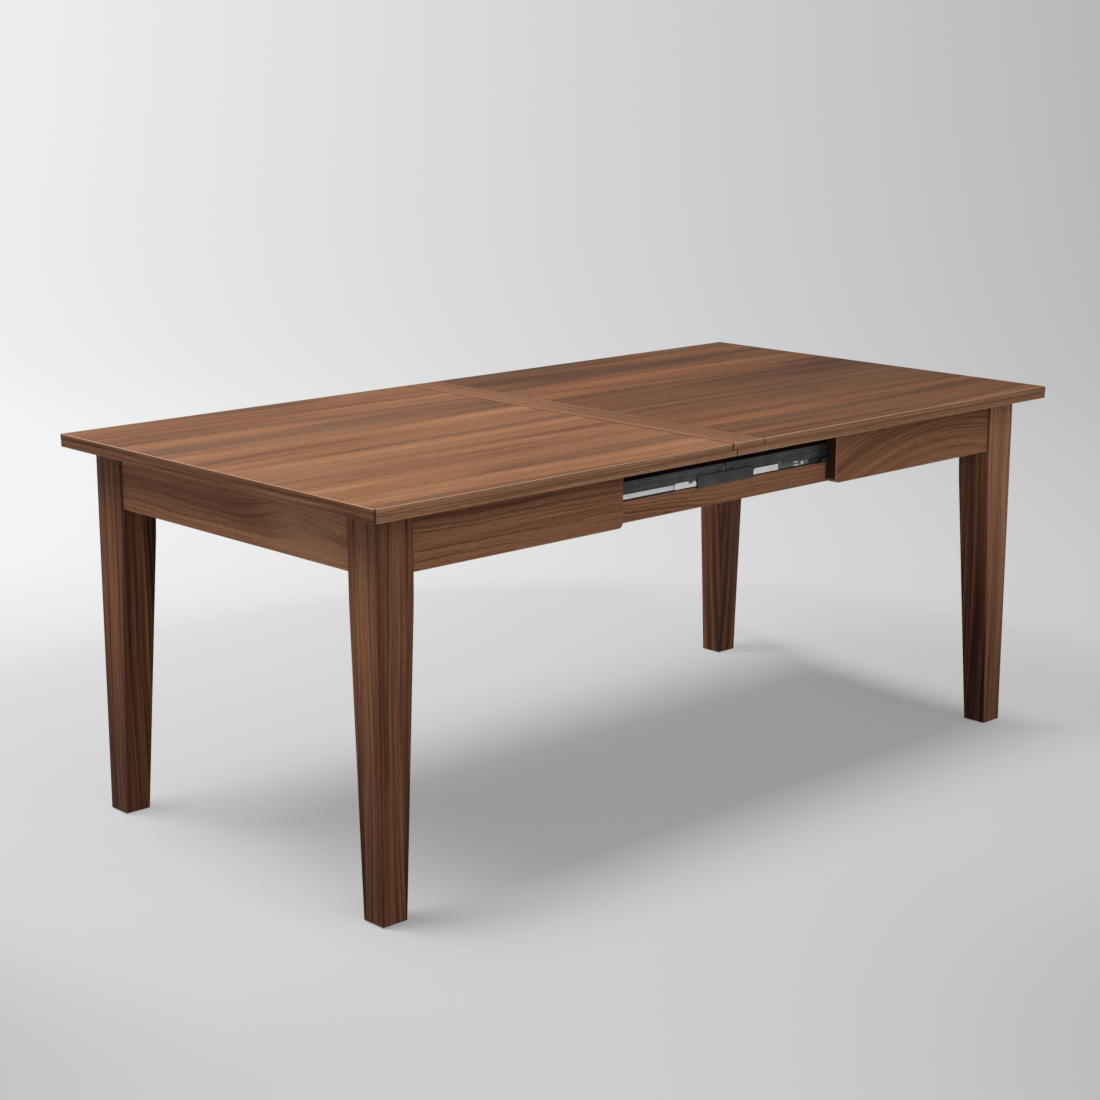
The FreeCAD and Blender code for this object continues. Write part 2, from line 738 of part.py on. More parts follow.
lever_plate = profile("lock_lever_plate", "XZ_Plane", [
    ("pawl_x - pawl_width / 2", "lever_top"),
    ("pawl_x + pawl_width / 2", "lever_top"),
    ("pawl_x + pawl_width / 2", "lever_top - pawl_rise"),
    ("pivot_x - lever_height", "lever_top - pawl_rise"),
    ("pivot_x - lever_height / 2", "lever_top"),
    ("pivot_x + lever_grip", "lever_top"),
    ("pivot_x + lever_grip", "lever_top - lever_height"),
    ("pivot_x - lever_height / 2", "lever_top - lever_height"),
    ("pivot_x - lever_height", "lever_top - pawl_rise - lever_waist / 2"),
    ("pawl_x - pawl_width / 2", "lever_top - pawl_rise - lever_waist / 2"),
], "lever_gauge", "-lever_middle")
lever_tab = slab("lock_lever_tab", (
    "pivot_x + lever_grip - lever_tab / 2",
    "-(lever_middle + lever_gauge / 2 + lever_tab / 2)",
    "lever_top - lever_height / 2",
), ("lever_tab", "lever_tab", "lever_gauge"))
lever_bore = rod("lock_lever_bore", "pivot_diameter + 2 * pivot_play", "lever_gauge * 3",
                 ("pivot_x", "-(lever_middle - lever_gauge * 3 / 2)", "pivot_z"), (0, -1, 0))
node(cut("lock_lever", fuse("lock_lever_blank", [lever_plate, lever_tab]), [lever_bore]), "lock_lever")

pivot_reach = "lever_gauge + 2 * lever_play"
pivot_stem = rod("lever_pivot_stem", "pivot_diameter", pivot_reach,
                 ("pivot_x", "-track_face", "pivot_z"), (0, -1, 0))
pivot_cap = rod("lever_pivot_cap", "pivot_head", "lever_play",
                ("pivot_x", f"-(track_face + {pivot_reach})", "pivot_z"), (0, -1, 0))
node(fuse("lever_pivot_rivet", [pivot_stem, pivot_cap]), "lever_pivot")


# Equaliser: a pinion on the carriage between two racks, one hung from each half

PRESSURE_ANGLE = math.radians(20)


def involute(angle):
    return math.tan(angle) - angle


def gap_half_angle(radius):
    # Half of the angle between two teeth at a radius, for involute flanks thinned by the play
    pitch = number("pitch_radius")
    base = pitch * math.cos(PRESSURE_ANGLE)
    thickness = number("tooth_pitch / 2 - gear_play / 2")
    slope = math.acos(min(1, base / radius))
    tooth = thickness / (2 * pitch) + involute(PRESSURE_ANGLE) - involute(slope)
    return math.pi / number("gear_teeth") - tooth


def polar(radius, angle):
    return Vector(radius * math.cos(angle), radius * math.sin(angle), 0)


def pinion():
    body = doc.addObject("PartDesign::Body", "pinion")
    disc = new_sketch(body, "pinion_disc", "XY_Plane")
    for radius in ("pitch_radius + tooth_rise", "gear_bore / 2 + bore_play"):
        ring = disc.addGeometry(Part.Circle(Vector(0, 0, 0), Vector(0, 0, 1), number(radius)), False)
        disc.addConstraint(Sketcher.Constraint("Coincident", ring, 3, -1, 1))
        held = disc.addConstraint(Sketcher.Constraint("Radius", ring, number(radius)))
        disc.setExpression(f"Constraints[{held}]", tie(radius))
    pad = body.newObject("PartDesign::Pad", "pinion_pad")
    pad.Profile = disc
    pad.SideType = "Symmetric"
    pad.setExpression("Length", tie("gear_face"))
    doc.recompute()

    root = number("pitch_radius - tooth_fall")
    base = number("pitch_radius") * math.cos(PRESSURE_ANGLE)
    tip = number("pitch_radius + tooth_rise")
    rim = tip + number("tooth_rise")
    foot, middle, top = (gap_half_angle(radius) for radius in (base, (base + tip) / 2, tip))
    low, high = [], []
    for run, sign in ((low, -1), (high, 1)):
        run += [polar(root, sign * foot), polar(base, sign * foot), polar((base + tip) / 2, sign * middle),
                polar(tip, sign * top), polar(rim, sign * top)]
    gap = new_sketch(body, "pinion_gap", "XY_Plane")
    for run in (low, high):
        gap.addGeometry(Part.LineSegment(run[0], run[1]), False)
        gap.addGeometry(Part.Arc(run[1], run[2], run[3]), False)
        gap.addGeometry(Part.LineSegment(run[3], run[4]), False)
    gap.addGeometry(Part.LineSegment(low[0], high[0]), False)
    gap.addGeometry(Part.LineSegment(low[4], high[4]), False)
    pocket = body.newObject("PartDesign::Pocket", "pinion_tooth_gap")
    pocket.Profile = gap
    pocket.Type = "ThroughAll"
    pocket.SideType = "Symmetric"
    doc.recompute()
    pattern = body.newObject("PartDesign::PolarPattern", "pinion_teeth")
    pattern.Originals = [pocket]
    pattern.Axis = (origin_feature(body, "Z_Axis"), [""])
    pattern.Angle = 360
    pattern.setExpression("Occurrences", tie("gear_teeth"))
    body.Tip = pattern
    place(body, "0", "equaliser_y", "gear_bottom + gear_face / 2")
    return body


def rack(end):
    # Toothed bar drawn beside the pinion's axis, turned half round for the right-hand half
    sx = ENDS[end]
    name = f"rack_{end}"
    far = "slide_travel + (rack_spare_teeth + 1) * tooth_pitch"
    body = profile(name + "_bar", "XY_Plane", rectangle(
        ("-batten_offset - hanger_width / 2", "-rack_back"), (far, "-pitch_radius + tooth_rise")),
        "gear_face", "gear_bottom + gear_face / 2")
    slope = f"{math.tan(PRESSURE_ANGLE)}"
    first = "-rack_spare_teeth * tooth_pitch"
    half = "tooth_pitch / 4 + gear_play / 4"
    wide, narrow = f"{half} + {slope} * tooth_rise * 2", f"{half} - {slope} * tooth_fall"
    pocket_through(body, name + "_gap", "XY_Plane", [
        (f"{first} - ({narrow})", "-pitch_radius - tooth_fall"),
        (f"{first} + {narrow}", "-pitch_radius - tooth_fall"),
        (f"{first} + {wide}", "-pitch_radius + 2 * tooth_rise"),
        (f"{first} - ({wide})", "-pitch_radius + 2 * tooth_rise"),
    ])
    pattern = body.newObject("PartDesign::LinearPattern", name + "_teeth")
    pattern.Originals = [body.Tip]
    pattern.Direction = (origin_feature(body, "X_Axis"), [""])
    pattern.setExpression("Occurrences", tie("travel_teeth + 2 * rack_spare_teeth + 1"))
    pattern.setExpression("Length", tie("(travel_teeth + 2 * rack_spare_teeth) * tooth_pitch"))
    body.Tip = pattern
    body.Placement.Rotation = Rotation(Vector(0, 0, 1), 0 if sx < 0 else 180)
    place(body, "0", "equaliser_y", "gear_bottom + gear_face / 2")
    post_y = f"equaliser_y + {sx} * (rack_back - rack_web / 2)"
    foot_y = f"{post_y} + (rack_web - hanger_foot) / 2"
    post = slab(name + "_post", (f"{sx} * batten_offset", post_y, "(gear_bottom + batten_bottom) / 2"),
                ("hanger_width", "rack_web", "batten_bottom - gear_bottom"))
    foot = slab(name + "_foot", (f"{sx} * batten_offset", foot_y, "batten_bottom - hanger_gauge / 2"),
                ("hanger_width", "hanger_foot", "hanger_gauge"))
    return node(fuse(name, [body, post, foot]), name)


def axle():
    # Riveted post, turned: head under the plate, stem, collar, journal and cap
    body = doc.addObject("PartDesign::Body", "pinion_axle")
    sketch = new_sketch(body, "pinion_axle_outline", "XZ_Plane")
    cap = "gear_top + gear_play"
    outline(sketch, [
        ("0", "cross_rail_top - axle_head"), ("axle_collar / 2", "cross_rail_top - axle_head"),
        ("axle_collar / 2", "cross_rail_top"), ("axle_stem / 2", "cross_rail_top"),
        ("axle_stem / 2", "plate_top"), ("axle_collar / 2", "plate_top"),
        ("axle_collar / 2", "axle_collar_top"), ("gear_bore / 2", "axle_collar_top"),
        ("gear_bore / 2", cap), ("axle_collar / 2", cap),
        ("axle_collar / 2", f"{cap} + axle_head"), ("0", f"{cap} + axle_head"),
    ])
    turned = body.newObject("PartDesign::Revolution", "pinion_axle_turned")
    turned.Profile = sketch
    turned.ReferenceAxis = (origin_feature(body, "Z_Axis"), [""])
    turned.Angle = 360
    return place(body, "0", "equaliser_y", "0")


node(pinion(), "pinion")
for end in ENDS:
    rack(end)
plate_blank = slab("equaliser_plate_blank", ("0", "equaliser_y", "cross_rail_top + plate_gauge / 2"),
                   ("2 * inner_rail_offset + cross_rail_width", "plate_width", "plate_gauge"))
plate_bore = rod("equaliser_plate_bore", "axle_stem", "plate_gauge * 3",
                 ("0", "equaliser_y", "cross_rail_top - plate_gauge"), (0, 0, 1))
plate = cut("equaliser_plate_bored", plate_blank, [plate_bore])
node(group("equaliser_plate_group", [plate, axle()]), "equaliser_plate")

keepers = []
for sy in (-1, 1):
    wall_near = f"equaliser_y + {sy} * (rack_back + keeper_play)"
    wall_far = f"equaliser_y + {sy} * (rack_back + keeper_play + keeper_wall)"
    lip = f"equaliser_y + {sy} * (rack_back - keeper_lip)"
    ceiling = "gear_top + keeper_play"
    for sx in (-1, 1):
        keepers.append(profile("rack_keeper", "YZ_Plane", [
            (wall_near, "plate_top"), (wall_far, "plate_top"), (wall_far, f"{ceiling} + keeper_wall"),
            (lip, f"{ceiling} + keeper_wall"), (lip, ceiling), (wall_near, ceiling),
        ], "keeper_length", f"{sx} * keeper_offset"))
node(group("rack_keeper_group", keepers), "rack_keepers")


# Leaf: two boards hinged on their undersides, folded and stored on the inner cross rails

def leaf(label, bottom, show_face):
    body = profile(label, "XY_Plane", rectangle(
        ("-slide_travel", "-leaf_half"), ("slide_travel", "leaf_half")),
        "top_thickness", f"{bottom} + top_thickness / 2")
    soften(body, "Fillet", "edge_round", lambda e: at(e, "z", f"{show_face} * top_thickness / 2")
           and e.BoundBox.XLength > NEAR and at(e, "y", "-leaf_half"))
    return node(body, label)


def leaf_hinge(index, x):
    # Two plates in the fold: the lower carries the outer knuckles and the pin, the upper the middle knuckle
    name = f"leaf_hinge_{index}"
    knuckle = "hinge_length / 3 - hinge_play"

    def plate(part_name, level, spots):
        z = f"hinge_z + {level} * (leaf_fold_gap - hinge_gauge) / 2"
        shapes = [slab(f"{part_name}_plate", (x, "leaf_half - hinge_leaf / 2", z),
                       ("hinge_length", "hinge_leaf", "hinge_gauge"))]
        for spot in spots:
            middle = f"{x} + {spot} * hinge_length / 3"
            shapes.append(slab(f"{part_name}_tab", (middle, "(leaf_half + hinge_y) / 2", z),
                               (knuckle, "hinge_y - leaf_half", "hinge_gauge")))
            shapes.append(rod(f"{part_name}_knuckle", "hinge_barrel", knuckle,
                              (f"{middle} - ({knuckle}) / 2", "hinge_y", "hinge_z"), (1, 0, 0)))
        return shapes

    def along_barrel(part_name, diameter):
        # Through the middle knuckle and halfway into the outer ones
        start = f"{x} - hinge_length / 3", "hinge_y", "hinge_z"
        return rod(part_name, diameter, "hinge_length * 2 / 3", start, (1, 0, 0))
    lower = plate(name + "_lower", -1, (-1, 1)) + [along_barrel(name + "_pin", "hinge_pin")]
    upper = fuse(name + "_upper_blank", plate(name + "_upper", 1, (0,)))
    bore = along_barrel(name + "_bore", "hinge_pin + hinge_play")
    return [fuse(name + "_lower", lower), cut(name + "_upper", upper, [bore])]


leaf("leaf_lower", "cross_rail_top", -1)
leaf("leaf_upper", "leaf_upper_bottom", 1)
hinges = []
for index, step in enumerate((-1, 1)):
    hinges += leaf_hinge(index, f"{step} * hinge_spacing / 2")
node(group("leaf_hinge_group", hinges), "leaf_hinges")


# Every object has to be sound before anything is written
doc.recompute()
for thing in doc.Objects:
    if "Invalid" in thing.State or "Error" in thing.State:
        raise RuntimeError(f"{thing.Label} failed: {thing.State}")
for thing in nodes:
    if thing.Shape.isNull() or not thing.Shape.isValid() or not thing.Shape.Solids:
        raise RuntimeError(f"{thing.Label} has no sound solid")
os.makedirs("parts", exist_ok=True)
for thing in nodes:
    thing.Shape.exportStep(f"parts/{thing.Label}.step")
print(len(nodes), "sub-parts written")
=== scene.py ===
import math
import bmesh
import bpy
from mathutils import Matrix, Vector


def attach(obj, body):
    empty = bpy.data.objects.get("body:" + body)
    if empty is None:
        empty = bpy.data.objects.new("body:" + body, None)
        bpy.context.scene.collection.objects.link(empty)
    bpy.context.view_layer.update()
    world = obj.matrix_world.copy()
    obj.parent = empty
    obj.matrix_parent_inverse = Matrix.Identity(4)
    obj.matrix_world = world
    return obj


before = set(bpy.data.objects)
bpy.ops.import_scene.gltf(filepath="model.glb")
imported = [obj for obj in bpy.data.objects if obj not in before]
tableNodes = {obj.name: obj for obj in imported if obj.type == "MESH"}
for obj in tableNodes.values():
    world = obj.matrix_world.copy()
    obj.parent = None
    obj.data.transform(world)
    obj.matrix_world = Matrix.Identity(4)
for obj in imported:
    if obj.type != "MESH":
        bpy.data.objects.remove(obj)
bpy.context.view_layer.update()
bpy.ops.object.select_all(action="DESELECT")
print("frame loaded:", len(tableNodes), "nodes")


arrisReach = (0.86, 0.985)  # how square to x, y or z a face looks, from an eased edge to a flat face
noiseMiddle = 0.5           # the noise swings about this value


# A socket that can stand in sums
class Wire:
    def __init__(self, finish, socket):
        self.finish = finish
        self.socket = socket

    def __add__(self, other):
        return self.finish.sum("ADD", self, other)

    def __radd__(self, other):
        return self.finish.sum("ADD", other, self)

    def __sub__(self, other):
        return self.finish.sum("SUBTRACT", self, other)

    def __rsub__(self, other):
        return self.finish.sum("SUBTRACT", other, self)

    def __mul__(self, other):
        return self.finish.sum("MULTIPLY", self, other)

    def __rmul__(self, other):
        return self.finish.sum("MULTIPLY", other, self)

    def __truediv__(self, other):
        return self.finish.sum("DIVIDE", self, other)

    def __pow__(self, other):
        return self.finish.sum("POWER", self, other)

    def __gt__(self, other):
        return self.finish.sum("GREATER_THAN", self, other)

    def __abs__(self):
        return self.finish.sum("ABSOLUTE", self, 0.0)


# A node tree and the short ways to add its nodes
class Finish:
    def __init__(self, name, owner=None):
        self.owner = owner or bpy.data.materials.new(name)
        self.owner.use_nodes = True
        self.tree = self.owner.node_tree
        self.tree.nodes.clear()

    def feed(self, socket, value):
        if isinstance(value, Wire):
            self.tree.links.new(value.socket, socket)
        elif hasattr(socket.default_value, "__len__") and len(socket.default_value) == 4:
            socket.default_value = (*value[:3], 1.0)
        else:
            socket.default_value = value

    def node(self, kind, settings, sockets, out=0):
        made = self.tree.nodes.new(kind)
        for key, value in settings.items():
            if key == "stops":
                stops = made.color_ramp.elements
                for stop, (spot, colour) in zip((stops[0], stops[-1]), (value[0], value[-1])):
                    stop.position = spot
                    stop.color = (*colour, 1.0)
                for spot, colour in value[1:-1]:
                    stops.new(spot).color = (*colour, 1.0)
            else:
                setattr(made, key, value)
        for key, value in sockets.items():
            self.feed(made.inputs[key], value)
        if out == "all":
            return [Wire(self, socket) for socket in made.outputs]
        return Wire(self, made.outputs[out]) if made.outputs else None

    def sum(self, operation, first, second):
        return self.node("ShaderNodeMath", {"operation": operation}, {0: first, 1: second})

    def least(self, first, second):
        return self.sum("MINIMUM", first, second)

    def most(self, first, second):
        return self.sum("MAXIMUM", first, second)

    def split(self, vector):
        return self.node("ShaderNodeSeparateXYZ", {}, {0: vector}, "all")

    def vector(self, x, y, z):
        return self.node("ShaderNodeCombineXYZ", {}, {0: x, 1: y, 2: z})

    def place(self):
        return self.node("ShaderNodeTexCoord", {}, {}, "Object")

    def step(self, value, low, high):  # 0 below low, 1 above high, smooth between
        return self.node("ShaderNodeMapRange", {"interpolation_type": "SMOOTHSTEP"},
                         {"Value": value, "From Min": low, "From Max": high})

    def noise(self, vector, detail, roughness=0.5, scale=1.0):
        return self.node("ShaderNodeTexNoise", {}, {"Vector": vector, "Scale": scale, "Detail": detail,
                                                    "Roughness": roughness})

    def grain(self, ways, long, wide, detail):  # noise drawn out along the first of three directions
        along, across, depth = ways
        return self.noise(self.vector(along * long, across * wide, depth * wide), detail)

    def ramp(self, value, stops):
        return self.node("ShaderNodeValToRGB", {"stops": stops}, {0: value})

    def mix(self, share, first, second, blend="MIX"):  # sockets 6 and 7 and output 2 are the colours
        return self.node("ShaderNodeMix", {"data_type": "RGBA", "blend_type": blend},
                         {0: share, 6: first, 7: second}, 2)

    def facing(self):  # the way a face looks, along x, y and z
        return self.split(self.node("ShaderNodeNewGeometry", {}, {}, "Normal"))

    def arris(self):  # 1 on the eased edges, 0 on the flat faces
        x, y, z = self.facing()
        return 1.0 - self.step(self.most(abs(x), self.most(abs(y), abs(z))), *arrisReach)

    def bump(self, height, depth, strength):
        return self.node("ShaderNodeBump", {}, {"Height": height, "Distance": depth, "Strength": strength})

    def surface(self, sockets):
        shader = self.node("ShaderNodeBsdfPrincipled", {}, sockets)
        self.node("ShaderNodeOutputMaterial", {}, {"Surface": shader})
        return self.owner


def dress(material, *names):
    for name in names:
        for slot in tableNodes[name].material_slots:
            slot.material = material


# Walnut. In a look, axes gives the letters along the grain, across it on the show face and into the wood,
# pith is where the heart of the tree lies across and into the board, and ring is how far apart the
# growth rings are.
walnut = {
    "ramp": [(0.00, (0.030, 0.011, 0.006)), (0.20, (0.078, 0.030, 0.0145)), (0.40, (0.148, 0.062, 0.0305)),
             (0.60, (0.235, 0.108, 0.0570)), (0.80, (0.320, 0.162, 0.0910)), (1.00, (0.415, 0.230, 0.1370))],
    "pore": (0.040, 0.017, 0.010),
    "grey": (0.165, 0.108, 0.078),
    # the eased edges' colour: partly wear, partly a painted highlight
    "easedEdgeColour": (0.520, 0.320, 0.205),
    # the dark of the painted shade in the grooves, also laid along the outer upright corners
    "grooveAndCornerDark": (0.016, 0.008, 0.005),
    "endGrainShade": (0.034, 0.016, 0.010),
    "endFace": (0.80, 0.97),
    "roughness": 0.55,
    "specular": 0.08,
    "grainDepth": 0.00022,
    "grainStrength": 0.30,
    "seamWidth": (0.0006, 0.0030),
    "dark": (0.05, 0.11),
    "fair": (0.07, 0.15),
    "line": (0.06, 0.12),
    "slip": 7.0,
    "wander": 3.0,
    "lateSharp": 6.0,
    "latePatches": (-0.12, 0.14),
    "poreCut": (0.13, 0.24),
    "greyPatches": (-0.05, 0.3),
    "grooveCore": 0.5,
    "cornerCore": 0.4,
    "relief": {"fibre": 0.5, "rings": 0.25, "pores": 0.6},
    "roughen": {"fibre": 0.10, "rings": 0.08, "pores": 0.12},
}
# cycles for each metre along and across the grain, and how fine the noise is
grainScale = {"sway": (0.9, 2.6, 1.0), "ripple": (6.0, 17.0, 1.0), "cloud": (1.7, 4.0, 1.0),
              "fibre": (16.0, 620.0, 2.0), "pores": (55.0, 1250.0, 0.0)}
# cycles for each ring and each metre along the grain, a layer of its own in the noise, and how fine it is
ringScale = {"bands": (0.16, 0.55, 0.5, 1.5), "streaks": (0.42, 0.75, 3.5, 1.5),
             "wander": (0.30, 0.80, 6.5, 1.0), "rings": (1.0, 1.3, 9.5, 2.0),
             "lines": (2.6, 2.2, 12.5, 2.0), "hairs": (2.3, 2.6, 15.5, 1.0)}


def walnutFigure(finish, place, look):
    spots = dict(zip("xyz", finish.split(place)))
    along, across, depth = [spots[letter] for letter in look["axes"]]
    if look.get("paired"):  # front and back, or left and right, from one plank
        depth = abs(depth)
    board = look["seed"]
    seam = None
    for joint in look.get("joints", ()):
        board = board + (across > joint)
        reach = abs(across - joint)
        seam = reach if seam is None else finish.least(seam, reach)
    chance = finish.node("ShaderNodeTexWhiteNoise", {"noise_dimensions": "1D"}, {"W": board}, "Color")
    slip, lean, shade = finish.split(chance)
    drift = along + slip * walnut["slip"]

    def swirl(kind):
        return finish.grain((drift, across, depth), *grainScale[kind]) - noiseMiddle

    # growth rings round the pith, swaying along the grain
    offAcross = across - look["pith"][0] - (lean - noiseMiddle) * look.get("pithSpread", 0.0)
    offDepth = depth - look["pith"][1]
    radius = (offAcross * offAcross + offDepth * offDepth) ** 0.5
    radius = radius + swirl("sway") * look["sway"] + swirl("ripple") * look["ripple"]
    if "arch" in look:  # the rings rise in arches where the saw ran out of the heart
        fromMiddle = abs(along) - look["arch"]["middle"]
        radius = radius + fromMiddle * fromMiddle * look["arch"]["rise"]
    tone = look["tone"]
    if "knot" in look:
        knot = look["knot"]
        knotAlong = (along - knot["along"]) / knot["length"]
        knotAcross = (across - knot["across"]) / knot["height"]
        knotReach = (knotAlong * knotAlong + knotAcross * knotAcross) ** 0.5
        swell = 1.0 - finish.step(knotReach, 0.0, knot["spread"])
        radius = radius + swell * knot["bend"]
        heart = 1.0 - finish.step(knotReach, 0.0, knot["heart"])
        tone = tone - heart * knot["dark"] + swell * knot["halo"]
    years = radius / look["ring"]

    def growth(kind):
        perRing, long, layer, detail = ringScale[kind]
        return finish.noise(finish.vector(years * perRing, drift * long, layer), detail) - noiseMiddle

    streaks = growth("streaks")
    rings = growth("rings")
    # each ring ends in a thin dark line, strong in some places and faint in others
    turns = finish.sum("FRACT", years + growth("wander") * walnut["wander"], 0.0)
    late = turns ** walnut["lateSharp"] * finish.step(growth("lines"), *walnut["latePatches"])
    fibre = swirl("fibre")
    pores = finish.step(swirl("pores"), *walnut["poreCut"])
    cloud = swirl("cloud")
    tone = tone + growth("bands") * look["bands"] + rings * look["rings"] - late * look["late"]
    tone = tone - finish.step(streaks, *walnut["dark"]) * look["streak"]
    tone = tone + finish.step(0.0 - streaks, *walnut["fair"]) * look["fair"]
    tone = tone - finish.step(rings, *walnut["line"]) * look["line"] + growth("hairs") * look["hair"]
    tone = tone + fibre * look["fibre"] + cloud * look["cloud"]
    tone = tone + (shade - noiseMiddle) * look.get("boards", 0.0)
    if seam is not None:
        tone = tone - (1.0 - finish.step(seam, *walnut["seamWidth"])) * look["seamDark"]
    return {"tone": tone, "fibre": fibre, "pores": pores, "rings": rings, "cloud": cloud, "streaks": streaks}


def makeWalnut(name, look):
    finish = Finish(name)
    place = finish.place()
    spots = dict(zip("xyz", finish.split(place)))
    figure = walnutFigure(finish, place, look)
    tone, pores, fibre = figure["tone"], figure["pores"], figure["fibre"]
    tinted = 1.0
    # a thin strip with its own grain covers the edge
    for letter, start, lippingLook in look.get("lippings", ()):
        onEdge = abs(spots[letter]) > start
        tone = tone + (walnutFigure(finish, place, lippingLook)["tone"] - tone) * onEdge
        tinted = tinted * (1.0 - onEdge)
    if "paintedFaceLight" in look:  # painted light and shade: the faces along x and along y are lifted or lowered in tone, and darkened toward the foot
        low = 1.0 - finish.step(spots["z"], 0.0, look["footReach"])
        for way, lift, drop in zip(finish.facing(), look["paintedFaceLight"], look["paintedFootShade"]):
            tone = tone + finish.step(abs(way), *walnut["endFace"]) * (lift - low * drop)
    colour = finish.ramp(tone, walnut["ramp"])
    greyed = finish.step(figure["cloud"] + figure["streaks"], *walnut["greyPatches"]) * look["grey"]
    colour = finish.mix(greyed, colour, walnut["grey"])
    colour = finish.mix(pores * look["pores"], colour, walnut["pore"])
    if "tint" in look:
        colour = finish.mix(tinted, colour, look["tint"], "MULTIPLY")
    if "endDark" in look:  # sawn across the grain, the wood drinks more oil; on the aprons the strong darkening is also painted shade on their end faces by the gap
        faces = dict(zip("xyz", finish.facing()))
        sawn = finish.step(abs(faces[look["axes"][0]]), *walnut["endFace"])
        colour = finish.mix(sawn * look["endDark"], colour, walnut["endGrainShade"])
    # painted shade darkens the grooves between pieces, a darker line runs along the outer upright corners, and
    # the eased edges take another colour, partly wear and partly a painted highlight (on the legs they are
    # darkened instead)
    groove = None
    for letter, middle, half, dark in look.get("grooves", ()):
        line = (1.0 - finish.step(abs(spots[letter] - middle), half * walnut["grooveCore"], half)) * dark
        groove = line if groove is None else finish.most(groove, line)
    if "corner" in look:
        corner = look["corner"]
        line = corner["dark"]
        for letter in "xy":
            start = corner[letter] - corner["width"]
            end = corner[letter] - corner["width"] * walnut["cornerCore"]
            line = finish.step(abs(spots[letter]), start, end) * line
        groove = line if groove is None else finish.most(groove, line)
    # the eased edges: partly wear, partly a painted highlight
    easedEdgeShare = finish.arris()
    if groove is not None:
        easedEdgeShare = easedEdgeShare * (1.0 - groove)
    colour = finish.mix(easedEdgeShare * look["easedEdgeShare"], colour, look.get("easedEdgeColour", walnut["easedEdgeColour"]))
    # painted shade in the grooves, and the darker line along the outer corners
    if groove is not None:
        colour = finish.mix(groove, colour, walnut["grooveAndCornerDark"])
    rings, relief, roughen = figure["rings"], walnut["relief"], walnut["roughen"]
    height = fibre * relief["fibre"] + rings * relief["rings"] - pores * relief["pores"]
    rough = fibre * roughen["fibre"] + rings * roughen["rings"] + pores * roughen["pores"]
    rough = walnut["roughness"] + rough
    return finish.surface({"Base Color": colour, "Roughness": rough, "Specular IOR Level": walnut["specular"],
                           "Normal": finish.bump(height, walnut["grainDepth"], walnut["grainStrength"])})


# grooves: axis, middle, half width and darkness of the painted shade, between the layers and at the seam, the
# lap and the band
layerLine = ("z", 0.737, 0.0013, 0.50)
layerLineEnd = ("z", 0.737, 0.0010, 0.20)
seamLine = ("x", -0.069, 0.0026, 0.90)
lapLine = ("x", -0.057, 0.0020, 0.90)
bandLine = ("x", 0.019, 0.0018, 0.75)
topCorner = {"x": 0.925, "y": 0.475, "width": 0.0040, "dark": 0.80}
legCorner = {"x": 0.881, "y": 0.424, "width": 0.0048, "dark": 0.50}

edgeLongLook = {
    "axes": "xyz", "paired": True, "seed": 17.0, "pith": (-0.20, 0.25), "ring": 0.0042, "sway": 0.020,
    "ripple": 0.0020, "tone": 0.84, "bands": 0.30, "rings": 0.90, "late": 0.34, "streak": 0.14, "fair": 0.08,
    "line": 0.24, "hair": 0.40, "fibre": 0.25, "cloud": 0.16, "grey": 0.15, "pores": 0.45, "easedEdgeShare": 0.40,
    "grooves": (layerLine, lapLine), "corner": topCorner,
}
edgeEndLook = dict(edgeLongLook, axes="yxz", seed=19.0, pith=(0.2, 0.20), tone=0.42, grey=0.45, easedEdgeShare=0.20,
                   tint=(1.0, 0.98, 1.0), grooves=(layerLineEnd,))
topLeftLook = {
    "axes": "xyz", "seed": 3.0, "joints": (-0.265, -0.052, 0.111, 0.340), "seamDark": 0.16,
    "pith": (1.00, -0.45), "pithSpread": 0.7, "ring": 0.0110, "sway": 0.045, "ripple": 0.0050,
    "tone": 0.540, "bands": 0.34, "rings": 0.44, "late": 0.10, "streak": 0.16, "fair": 0.12, "line": 0.12,
    "hair": 0.14, "fibre": 0.12, "cloud": 0.16, "boards": 0.12, "grey": 0.22, "pores": 0.40, "easedEdgeShare": 0.75,
    "tint": (1.0, 0.965, 0.82), "grooves": (layerLine, seamLine), "corner": topCorner,
    "lippings": (("y", 0.4736, edgeLongLook), ("x", 0.9236, edgeEndLook)),
}
# the right half's lower tone and more orange tint are partly its own wood and partly painted shade, the top
# darkening toward the right as the light falls off
topRightLook = dict(topLeftLook, seed=71.0, tone=0.355, bands=0.27, cloud=0.10,
                    tint=(1.0, 0.910, 0.680), grooves=(layerLine, bandLine))
leafLook = dict(topLeftLook, seed=61.0, tone=0.52, grooves=(), lippings=(), endDark=0.5)
leafLook.pop("corner")
bandLook = {
    "axes": "yxz", "seed": 11.0, "pith": (0.75, 0.12), "ring": 0.0080, "sway": 0.020, "ripple": 0.0030,
    "tone": 0.51, "bands": 0.35, "rings": 0.35, "late": 0.12, "streak": 0.12, "fair": 0.08, "line": 0.08,
    "hair": 0.10, "fibre": 0.14, "cloud": 0.14, "grey": 0.40, "pores": 0.40, "easedEdgeShare": 0.60,
    "tint": (1.0, 0.965, 0.82), "grooves": (layerLine, seamLine, bandLine),
    "lippings": (("y", 0.4736, edgeLongLook),),
}
legLook = {
    "axes": "zxy", "ring": 0.0066, "sway": 0.036, "ripple": 0.0060, "tint": (1.0, 0.955, 0.94),
    "tone": 0.54, "bands": 0.20, "rings": 1.30, "late": 0.34, "streak": 0.12, "fair": 0.10, "line": 0.10,
    "hair": 0.60, "fibre": 0.20, "cloud": 0.10, "grey": 0.14, "pores": 0.50, "easedEdgeShare": 0.45,
    "easedEdgeColour": walnut["pore"], "footReach": 0.62, "corner": legCorner, "endDark": 0.6,
}
